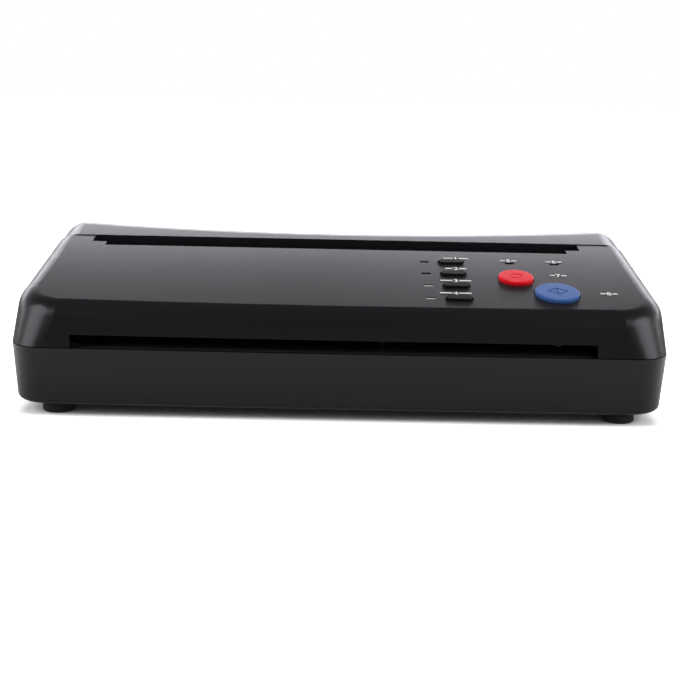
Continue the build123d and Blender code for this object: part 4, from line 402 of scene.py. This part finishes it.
def printed_number(skin, number, spot, width, sizes):
    """One plain number between two short rules, laid on the panel."""
    bpy.ops.object.select_all(action="DESELECT")
    bpy.ops.object.text_add(location=(0, 0, 0))
    figure = bpy.context.object
    figure.data.body = str(number)
    figure.data.align_x = "CENTER"
    figure.data.align_y = "CENTER"
    # Blender's own font draws a figure about 0.7 of its size high.
    figure.data.size = sizes.height * 1.4
    figure.data.extrude = sizes.ink / 2
    bpy.ops.object.convert(target="MESH")
    # Half the figure's width, and the gap between it and a rule.
    clear = sizes.height * 0.45
    rule = width * MM / 2 - clear
    rules = [rounded_bar((rule, sizes.rule, sizes.ink), rounding=sizes.rule * 0.3, segments=2,
                         place=(side * (clear + rule / 2), 0, 0)) for side in (-1, 1)]
    alone(figure)
    for bar in rules:
        bar.select_set(True)
    bpy.ops.object.join()
    # Part of the ink is sunk, so that no gap shows where the panel curves.
    stand_on(figure, skin, spot, height=sizes.ink * 0.1)
    return figure


# ---------------------------------------------------------------- studio

def soft_lamp(name, place, size, power, shines=True, colour=srgb("ffffff")):
    """A soft lamp that looks at the copier. One that doesn't shine leaves no reflection."""
    bpy.ops.object.light_add(type="AREA", location=place)
    lamp = bpy.context.object
    lamp.name = name
    lamp.data.shape = "RECTANGLE"
    lamp.data.size, lamp.data.size_y = size
    lamp.data.energy = power
    lamp.data.color = colour[:3]
    lamp.visible_camera = False
    lamp.visible_glossy = shines
    target = (CAD_LOW + CAD_HIGH) / 2
    lamp.rotation_mode = "QUATERNION"
    lamp.rotation_quaternion = (target - lamp.location).to_track_quat("-Z", "Y")


def eye_rays(tree, rays):
    """1 for what the eye sees, straight or through glass, and 0 for all other light."""
    return node(tree, "ShaderNodeMath", {
        0: rays["Is Camera Ray"], 1: rays["Is Transmission Ray"]}, operation="MAXIMUM").outputs[0]


def white_floor(context, studio):
    """A matt white sweep that keeps the copier's shadow and is lifted to white for the eye.

    The lift leaves the strip under the copier dark. In gloss alone the floor holds painted shade:
    a painted shadow of the copier close by, and painted dark past the sweep's end, standing in for
    a darker room beyond. The glow that gloss sees is cut by the same painted shade.
    """
    bpy.ops.object.select_all(action="DESELECT")
    # 60 m, so that its edge never shows.
    bpy.ops.mesh.primitive_plane_add(size=60, location=(0, 0, CAD_LOW.z))
    floor = context.object
    floor.name = "floor"
    made, tree, place = start("White paper sweep")
    rays = node(tree, "ShaderNodeLightPath").outputs

    # How far a spot lies out from the copier's sides. It is less than nothing under the copier.
    spot = node(tree, "ShaderNodeSeparateXYZ", {"Vector": place})
    past = []
    for axis, half in (("X", CAD_HIGH.x), ("Y", CAD_HIGH.y)):
        size = node(tree, "ShaderNodeMath", {0: spot.outputs[axis]}, operation="ABSOLUTE")
        past.append(node(tree, "ShaderNodeMath", {0: size.outputs[0], 1: half},
                         operation="SUBTRACT").outputs[0])
    away = node(tree, "ShaderNodeMath", {0: past[0], 1: past[1]}, operation="MAXIMUM").outputs[0]

    # Four shares that change with that distance: from and to where, and from and to what. The last
    # two are painted shade for gloss: a painted shadow close to the copier, and painted dark far
    # off.
    rising, edge, painted_shadow_near, painted_dark_far = [
        node(tree, "ShaderNodeMapRange", {
            "Value": away, "From Min": begin, "From Max": end,
            "To Min": low, "To Max": high}).outputs["Result"]
        for begin, end, low, high in (
            (studio.white_from, studio.white_full, studio.lift, 1.0),
            (studio.lift_edge, studio.lift_full, 0.0, 1.0),
            (studio.lift_edge, studio.gloss_full, studio.gloss_near, 1.0),
            (studio.sweep_end, studio.sweep_end + studio.sweep_fade, 1.0, studio.gloss_far))]

    lifted = node(tree, "ShaderNodeMath", {0: rising, 1: edge}, operation="MULTIPLY")
    for_eye = node(tree, "ShaderNodeMath", {
        0: lifted.outputs[0], 1: eye_rays(tree, rays)}, operation="MULTIPLY")
    # Painted shade for gloss alone: the painted shadow close by times the painted dark far off.
    shown = node(tree, "ShaderNodeMath", {0: painted_shadow_near, 1: painted_dark_far}, operation="MULTIPLY")
    for_gloss = node(tree, "ShaderNodeMath", {
        0: rays["Is Glossy Ray"], 1: shown.outputs[0]}, operation="MULTIPLY")
    glow = node(tree, "ShaderNodeMath", {
        0: for_gloss.outputs[0], 1: studio.gloss_lift, 2: for_eye.outputs[0]},
        operation="MULTIPLY_ADD")
    # Painted shade in gloss: the share of the sweep's light that gloss doesn't see is taken from
    # its colour, which is mixed towards black.
    painted_shade = node(tree, "ShaderNodeMath", {
        0: rays["Is Glossy Ray"], 1: for_gloss.outputs[0]}, operation="SUBTRACT")
    white = node(tree, "ShaderNodeMix", {
        FACTOR: marks(tree, place, 3 * MM), COLOUR_A: srgb("fafafa"), COLOUR_B: srgb("ffffff")},
        data_type="RGBA")
    tone = node(tree, "ShaderNodeMix", {
        FACTOR: painted_shade.outputs[0], COLOUR_A: white.outputs[MIXED], COLOUR_B: srgb("000000")},
        data_type="RGBA")
    matt = node(tree, "ShaderNodeBsdfDiffuse", {"Color": tone.outputs[MIXED]})
    light = node(tree, "ShaderNodeEmission", {"Strength": glow.outputs[0]})
    both = node(tree, "ShaderNodeAddShader", {0: matt.outputs[0], 1: light.outputs[0]})
    node(tree, "ShaderNodeOutputMaterial", {"Surface": both.outputs[0]})
    floor.data.materials.append(made)


def studio_room(context, studio):
    """A white background for the eye, and an even light for matt surfaces.

    Gloss sees a room that is white low down behind the copier, and dim overhead and in front.
    """
    world = bpy.data.worlds.new("Studio room")
    context.scene.world = world
    world.use_nodes = True
    tree = world.node_tree
    tree.nodes.clear()
    rays = node(tree, "ShaderNodeLightPath").outputs
    way = node(tree, "ShaderNodeSeparateXYZ", {
        "Vector": node(tree, "ShaderNodeTexCoord").outputs["Generated"]})
    behind = node(tree, "ShaderNodeMapRange", {
        "Value": way.outputs["Y"], "From Min": studio.side_dim, "From Max": studio.side_bright})
    low_down = node(tree, "ShaderNodeMapRange", {
        "Value": way.outputs["Z"], "From Min": studio.sky_bright, "From Max": studio.sky_dim,
        "To Min": 1.0, "To Max": 0.0})
    bright = node(tree, "ShaderNodeMath", {
        0: behind.outputs["Result"], 1: low_down.outputs["Result"]}, operation="MULTIPLY")
    in_gloss = node(tree, "ShaderNodeMapRange", {
        "Value": bright.outputs[0], "To Min": studio.dusk, "To Max": 1.0})
    for_object = node(tree, "ShaderNodeMix", {
        FACTOR: rays["Is Glossy Ray"], NUMBER_A: studio.room,
        NUMBER_B: in_gloss.outputs["Result"]}, data_type="FLOAT")
    level = node(tree, "ShaderNodeMix", {
        FACTOR: eye_rays(tree, rays), NUMBER_A: for_object.outputs[0], NUMBER_B: 1.0},
        data_type="FLOAT")
    sky = node(tree, "ShaderNodeBackground", {
        "Color": srgb("ffffff"), "Strength": level.outputs[0]})
    node(tree, "ShaderNodeOutputWorld", {"Surface": sky.outputs[0]})


# ---------------------------------------------------------------- properties

class CopierLooks(bpy.types.PropertyGroup):
    """Colours and grain of the outside."""

    case_colour: FloatVectorProperty(
        name="Case", description="Black of the cover and the lower case",
        subtype="COLOR", size=4, min=0, max=1, default=srgb("131315"))
    case_roughness: FloatProperty(
        name="Case roughness", description="Sheen of the textured case", min=0, max=1,
        default=0.3)
    case_grain: FloatProperty(
        name="Case grain", description="Width of the pits in the case's texture",
        subtype="DISTANCE", unit="LENGTH", default=0.45 * MM)
    copy_colour: FloatVectorProperty(
        name="Copy button", description="Blue of the large button",
        subtype="COLOR", size=4, min=0, max=1, default=srgb("35578f"))
    stop_colour: FloatVectorProperty(
        name="Stop button", description="Red of the small button",
        subtype="COLOR", size=4, min=0, max=1, default=srgb("cb0d1c"))
    key_colour: FloatVectorProperty(
        name="Keys", description="Near-black of the four keys",
        subtype="COLOR", size=4, min=0, max=1, default=srgb("0e0e10"))


class CopierMarks(bpy.types.PropertyGroup):
    """Sizes of the printed numbers and the window tips."""

    # A window tip is a painted highlight: a pale piece for the bright line along a window.
    tip: FloatVectorProperty(
        name="Window tip", description="Width, depth and height of a milky window tip",
        subtype="XYZ", unit="LENGTH", default=(3.9 * MM, 1.2 * MM, 0.55 * MM))
    height: FloatProperty(
        name="Figure height", description="Height of a printed figure",
        subtype="DISTANCE", unit="LENGTH", default=3.2 * MM)
    rule: FloatProperty(
        name="Rule", description="Thickness of the rules beside a figure",
        subtype="DISTANCE", unit="LENGTH", default=0.9 * MM)
    ink: FloatProperty(
        name="Ink", description="Thickness of the ink's solid, a little less than half of it sunk",
        subtype="DISTANCE", unit="LENGTH", default=0.14 * MM)


class CopierStudio(bpy.types.PropertyGroup):
    """Camera, lamps, room and floor."""

    lens: FloatProperty(
        name="Lens", description="Focal length of the camera", subtype="DISTANCE_CAMERA",
        default=55.3123)
    station: FloatVectorProperty(
        name="Camera place", description="Where the camera stands", subtype="XYZ",
        unit="LENGTH", default=(-0.0015456, -0.4964482, 0.1318278))
    aim: FloatVectorProperty(
        name="Camera turn", description="How the camera is turned", subtype="EULER",
        unit="ROTATION", default=[math.radians(a) for a in (76.8272, -1.1693, 0.0701)])

    side_power: FloatProperty(
        name="Side lamps", description="Power of each side lamp", subtype="POWER", default=7.0)
    side_place: FloatVectorProperty(
        name="Side lamp's place", description="Middle of the right side lamp; the left mirrors it",
        subtype="XYZ", unit="LENGTH", default=(0.85, -0.35, 0.5))
    side_size: FloatVectorProperty(
        name="Side lamps' size", description="Width and height of each side lamp",
        size=2, unit="LENGTH", default=(0.6, 0.6))
    top_power: FloatProperty(
        name="Top lamp", description="Power of the overhead lamp", subtype="POWER", default=5.0)
    top_place: FloatVectorProperty(
        name="Top lamp's place", description="Middle of the overhead lamp", subtype="XYZ",
        unit="LENGTH", default=(0.0, 0.0, 1.1))
    top_size: FloatVectorProperty(
        name="Top lamp's size", description="Width and depth of the overhead lamp",
        size=2, unit="LENGTH", default=(1.2, 0.8))
    back_power: FloatProperty(
        name="Back lamp", description="Power of the low wide lamp behind the copier",
        subtype="POWER", default=1.15)
    back_place: FloatVectorProperty(
        name="Back lamp's place", description="Middle of the back lamp", subtype="XYZ",
        unit="LENGTH", default=(0.0, 0.14, 0.125))
    back_size: FloatVectorProperty(
        name="Back lamp's size", description="Width and height of the back lamp",
        size=2, unit="LENGTH", default=(1.6, 0.03))
    back_colour: FloatVectorProperty(
        name="Back lamp's colour", description="Faint blue of the back lamp",
        subtype="COLOR", size=4, min=0, max=1, default=srgb("f8f6ff"))

    room: FloatProperty(
        name="Room", description="Even light of the room on matt surfaces", min=0, max=1,
        default=0.2)
    dusk: FloatProperty(
        name="Camera side", description="How bright gloss sees the room overhead and in front",
        min=0, max=1, default=0.15)
    sky_bright: FloatProperty(
        name="Bright below", description="Sine of the height up to which gloss sees a white room",
        min=0, max=1, default=0.1)
    sky_dim: FloatProperty(
        name="Dim above", description="Sine of the height above which gloss sees a dim room",
        min=0, max=1, default=0.6)
    side_dim: FloatProperty(
        name="Dim in front", min=-1, max=1, default=-0.6,
        description="Cosine of the turn from the rear past which gloss sees a dim room")
    side_bright: FloatProperty(
        name="Bright behind", min=-1, max=1, default=0.0,
        description="Cosine of the turn from the rear up to which gloss sees a white room")

    lift: FloatProperty(
        name="Floor's lift", description="Glow of the floor round the copier, for the eye",
        min=0, max=1, default=0.7)
    lift_edge: FloatProperty(
        name="Lift's edge", description="Where the glow begins, out from the copier's sides",
        subtype="DISTANCE", unit="LENGTH", default=-6 * MM)
    lift_full: FloatProperty(
        name="Full lift", description="Where the glow is full, out from the copier's sides",
        subtype="DISTANCE", unit="LENGTH", default=4 * MM)
    white_from: FloatProperty(
        name="White from", description="How far out the glow starts to rise to pure white",
        subtype="DISTANCE", unit="LENGTH", default=0.15)
    white_full: FloatProperty(
        name="Pure white", description="How far out the floor is pure white to the eye",
        subtype="DISTANCE", unit="LENGTH", default=0.8)
    gloss_lift: FloatProperty(
        name="Floor in gloss", description="Glow of the floor that gloss sees",
        min=0, max=1, default=0.5)
    # The painted shadow of the copier that gloss sees on the floor: how much light is left close
    # by, and how far out it reaches.
    gloss_near: FloatProperty(
        name="Close floor in gloss", description="Share of its light that gloss sees close by",
        min=0, max=1, default=0.35)
    gloss_full: FloatProperty(
        name="Full floor in gloss", description="How far out gloss sees all of its light",
        subtype="DISTANCE", unit="LENGTH", default=100 * MM)
    # The painted dark that gloss sees on the floor far out: where it begins, over how far it fades
    # in, and how much light is left.
    sweep_end: FloatProperty(
        name="Sweep's end", description="How far out the white sweep reaches, in gloss",
        subtype="DISTANCE", unit="LENGTH", default=120 * MM)
    sweep_fade: FloatProperty(
        name="Sweep's fade", description="Over how far the sweep dims past its end, in gloss",
        subtype="DISTANCE", unit="LENGTH", default=72 * MM)
    gloss_far: FloatProperty(
        name="Far floor in gloss", description="Share of its light that gloss sees past that",
        min=0, max=1, default=0.15)


# ---------------------------------------------------------------- operators

class COPIER_OT_case(bpy.types.Operator):
    """Finish the cover, the lower case, the paper guides and the feet"""

    bl_idname = "copier.case"
    bl_label = "Case and guides"

    def execute(self, context):
        coat(case_black(context.scene.copier_looks), "lower_case", "upper_cover")
        coat(guide_grey(), "entry_guide", "transfer_guide", "stencil_exit_guide", "upper_guide")
        # Nitrile rubber from a blasted mould: dead matt with a coarse grain.
        coat(moulded("Moulded nitrile rubber", srgb("121212"), roughness=0.75,
                     grain=0.6 * MM, depth=0.012 * MM, specular=0.3),
             "rubber_feet")
        return {"FINISHED"}


class COPIER_OT_panel(bpy.types.Operator):
    """Finish the buttons, the keys and the lamp windows"""

    bl_idname = "copier.panel"
    bl_label = "Buttons and keys"

    def execute(self, context):
        looks = context.scene.copier_looks
        # Coloured ABS from a fine-blasted tool: satin, with pits too small to see from the front.
        coat(moulded("Satin blue ABS", looks.copy_colour, roughness=0.36,
                     grain=0.3 * MM, depth=0.002 * MM, specular=0.12),
             "copy_button")
        coat(moulded("Satin red ABS", looks.stop_colour, roughness=0.36,
                     grain=0.3 * MM, depth=0.002 * MM, specular=0.08),
             "stop_button")
        # Black ABS from a coarse-blasted tool: more matt than the case, so the keys look darker.
        coat(moulded("Matt black ABS", looks.key_colour, roughness=0.5,
                     grain=0.35 * MM, depth=0.004 * MM, specular=0.06),
             "key_1", "key_2", "key_3", "key_4")
        # Smoked acrylic light guides: dark and glossy while their lamps are off.
        coat(moulded("Smoked acrylic", srgb("19191c"), roughness=0.15,
                     grain=0.8 * MM, depth=0.001 * MM),
             "led_windows")
        return {"FINISHED"}


class COPIER_OT_metal(bpy.types.Operator):
    """Finish the frames, shafts, springs and screws"""

    bl_idname = "copier.metal"
    bl_label = "Metal parts"

    def execute(self, context):
        coat(zinc_sheet(), "left_frame", "right_frame", "motor_bracket", "head_bracket")
        # Black electrocoat on the sheet guide under the top slot: thin, half glossy, so it hides.
        coat(moulded("Black electrocoated steel", srgb("111112"), roughness=0.32,
                     grain=1.2 * MM, depth=0.003 * MM),
             "stencil_guide")
        # Centreless-ground steel: bright, with fine rings round the shaft.
        coat(worked_metal("Ground steel", srgb("c9cacc"), 0.2,
                          RINGS_ROUND_X, 0.25 * MM, depth=0.001 * MM),
             "platen_shaft", "document_shaft", "gear_studs", "hinge_pins")
        # Cold-rolled spring strip: long rolling lines and a bluish grey.
        coat(worked_metal("Spring strip", srgb("9ba0a6"), 0.26,
                          LINES_ALONG_X, 0.3 * MM, depth=0.001 * MM),
             "head_springs", "scanner_springs", "catch_clips")
        # Free-cutting brass off the lathe: warm yellow with turning rings.
        coat(worked_metal("Turned brass", srgb("c9a75c"), 0.24,
                          RINGS_ROUND_X, 0.3 * MM, depth=0.002 * MM),
             "motor_pinion")
        # Extruded aluminium: pale, with die lines along the whole length.
        coat(worked_metal("Extruded aluminium", srgb("c8cacb"), 0.34,
                          LINES_ALONG_X, 0.4 * MM, depth=0.004 * MM),
             "head_heat_sink")
        # Deep-drawn motor can with nickel plating: draw lines along the motor's axis.
        coat(worked_metal("Nickel-plated can", srgb("b0b1b1"), 0.25,
                          LINES_ALONG_X, 0.5 * MM, depth=0.002 * MM),
             "stepper_motor")
        # Zinc-plated screws: small, bright and slightly mottled.
        coat(worked_metal("Plated screw steel", srgb("aeb2b5"), 0.3,
                          SPECKS, 0.5 * MM, depth=0.004 * MM),
             "base_screws")
        # Oiled black oxide on the cover's screws, so that none glints through the front slot.
        coat(worked_metal("Black-oxide screw steel", srgb("1c1c1e"), 0.42,
                          SPECKS, 0.5 * MM, depth=0.004 * MM),
             "cover_screws")
        return {"FINISHED"}


class COPIER_OT_drive(bpy.types.Operator):
    """Finish the rollers and the gears"""

    bl_idname = "copier.drive"
    bl_label = "Rollers and gears"

    def execute(self, context):
        coat(ground_rubber(), "platen_rubber", "document_rubber")
        # Natural acetal: milky white that lets light in a little, smooth and waxy.
        acetal = moulded("Natural acetal", srgb("e4e1d6"), roughness=0.32,
                         grain=0.8 * MM, depth=0.002 * MM, **{
                             "Subsurface Weight": 0.25, "Subsurface Scale": 0.6 * MM,
                             "Subsurface Radius": (1.0, 0.95, 0.85)})
        coat(acetal, "platen_gear", "document_gear", "idler_gear", "reduction_gear",
             "roller_bushes")
        return {"FINISHED"}


class COPIER_OT_optics(bpy.types.Operator):
    """Finish the print head and the scanner"""

    bl_idname = "copier.optics"
    bl_label = "Head and scanner"

    def execute(self, context):
        coat(head_ceramic(), "thermal_head")
        coat(scanner_pane(), "scanner_glass")
        # Glass-filled nylon of the two housings: black, dull and slightly grainy.
        coat(moulded("Glass-filled black nylon", srgb("1a1a1b"), roughness=0.5,
                     grain=0.7 * MM, depth=0.006 * MM),
             "head_driver_cover", "scanner_housing")
        return {"FINISHED"}


class COPIER_OT_boards(bpy.types.Operator):
    """Finish the circuit boards, their parts, the mains fittings and the paper levers"""

    bl_idname = "copier.boards"
    bl_label = "Boards and levers"

    def execute(self, context):
        coat(board_green(), "main_board", "power_board", "key_board")
        # Transfer-moulded epoxy: dark grey with a fine sandy grain.
        coat(moulded("Moulded epoxy", srgb("202022"), roughness=0.55,
                     grain=0.3 * MM, depth=0.004 * MM),
             "main_board_chips", "power_parts", "key_switches", "document_sensor",
             "stencil_sensor")
        # Glass-filled polyester of mains fittings: black and half glossy.
        coat(moulded("Glass-filled black polyester", srgb("151516"), roughness=0.38,
                     grain=0.4 * MM, depth=0.003 * MM),
             "power_inlet", "switch_body", "power_rocker")
        # Natural nylon of connector bodies and lamp lenses: creamy and half glossy.
        coat(moulded("Natural nylon", srgb("ded8c6"), roughness=0.4,
                     grain=0.5 * MM, depth=0.003 * MM),
             "main_board_connectors", "led_lamps")
        # Levers in black acetal: smooth and waxy.
        coat(moulded("Black acetal", srgb("19191a"), roughness=0.3,
                     grain=0.6 * MM, depth=0.002 * MM),
             "document_lever", "stencil_lever")
        return {"FINISHED"}


class COPIER_OT_tips(bpy.types.Operator):
    """Set a pale tip, a painted highlight, in each of the two front lamp windows"""

    bl_idname = "copier.tips"
    bl_label = "Window tips"

    def execute(self, context):
        # Pale acrylic, a painted highlight for the bright line along these windows: half glossy,
        # with cloudy flow marks a millimetre wide.
        painted_highlight = moulded("Pale acrylic painted highlight", srgb("b9b9b6"), roughness=0.22,
                       grain=1.0 * MM, depth=0.001 * MM)
        windows = skin_of("led_windows")
        for number, key in enumerate(PALE_KEYS, 1):
            spot = beside(key, TIP_RIGHT, TIP_BEHIND)
            tip = window_tip(windows, spot, context.scene.copier_marks)
            settle(tip, f"window_tip_{number}", painted_highlight, "cover")
        return {"FINISHED"}


class COPIER_OT_numbers(bpy.types.Operator):
    """Print the plain numbers beside the controls"""

    bl_idname = "copier.numbers"
    bl_label = "Printed numbers"

    def execute(self, context):
        panel = skin_of("upper_cover")
        ink = print_white()
        for number, (control, right, behind, width) in enumerate(NUMBERS, 1):
            spot = beside(control, right, behind)
            mark = printed_number(panel, number, spot, width, context.scene.copier_marks)
            settle(mark, f"printed_number_{number}", ink, "cover")
        return {"FINISHED"}


class COPIER_OT_stage(bpy.types.Operator):
    """Set up the white sweep, the lamps, the room and the camera"""

    bl_idname = "copier.stage"
    bl_label = "Studio"

    def execute(self, context):
        studio = context.scene.copier_studio
        white_floor(context, studio)
        out, back, up = studio.side_place
        for name, side in (("lamp_left", -1), ("lamp_right", 1)):
            soft_lamp(name, (side * out, back, up), studio.side_size, studio.side_power)
        soft_lamp("lamp_top", studio.top_place, studio.top_size, studio.top_power, shines=False)
        soft_lamp("lamp_back", studio.back_place, studio.back_size, studio.back_power,
                  colour=studio.back_colour)
        studio_room(context, studio)
        bpy.ops.object.camera_add(location=studio.station, rotation=studio.aim)
        camera = context.object
        camera.name = "camera"
        camera.data.sensor_width = 36.0
        camera.data.lens = studio.lens
        camera.data.clip_start = 10 * MM
        context.scene.camera = camera
        context.scene.view_settings.view_transform = "Standard"
        return {"FINISHED"}


class COPIER_PT_panel(bpy.types.Panel):
    """The copier's steps and settings"""

    bl_label = "Copier"
    bl_idname = "COPIER_PT_panel"
    bl_space_type = "VIEW_3D"
    bl_region_type = "UI"
    bl_category = "Copier"

    def draw(self, context):
        for step in STEPS:
            self.layout.operator(step.bl_idname)
        for group in GROUPS:
            box = self.layout.box()
            settings = getattr(context.scene, group)
            for name in settings.__annotations__:
                box.prop(settings, name)


STEPS = (COPIER_OT_case, COPIER_OT_panel, COPIER_OT_metal, COPIER_OT_drive, COPIER_OT_optics,
         COPIER_OT_boards, COPIER_OT_tips, COPIER_OT_numbers, COPIER_OT_stage)
GROUPS = {"copier_looks": CopierLooks, "copier_marks": CopierMarks,
          "copier_studio": CopierStudio}


def register():
    for made in (*GROUPS.values(), *STEPS, COPIER_PT_panel):
        bpy.utils.register_class(made)
    for name, made in GROUPS.items():
        setattr(bpy.types.Scene, name, PointerProperty(type=made))


def unregister():
    for name in GROUPS:
        delattr(bpy.types.Scene, name)
    for made in reversed((*GROUPS.values(), *STEPS, COPIER_PT_panel)):
        bpy.utils.unregister_class(made)


def main():
    register()
    for step in STEPS:
        getattr(bpy.ops.copier, step.bl_idname.split(".")[1])()


if __name__ == "__main__":
    main()
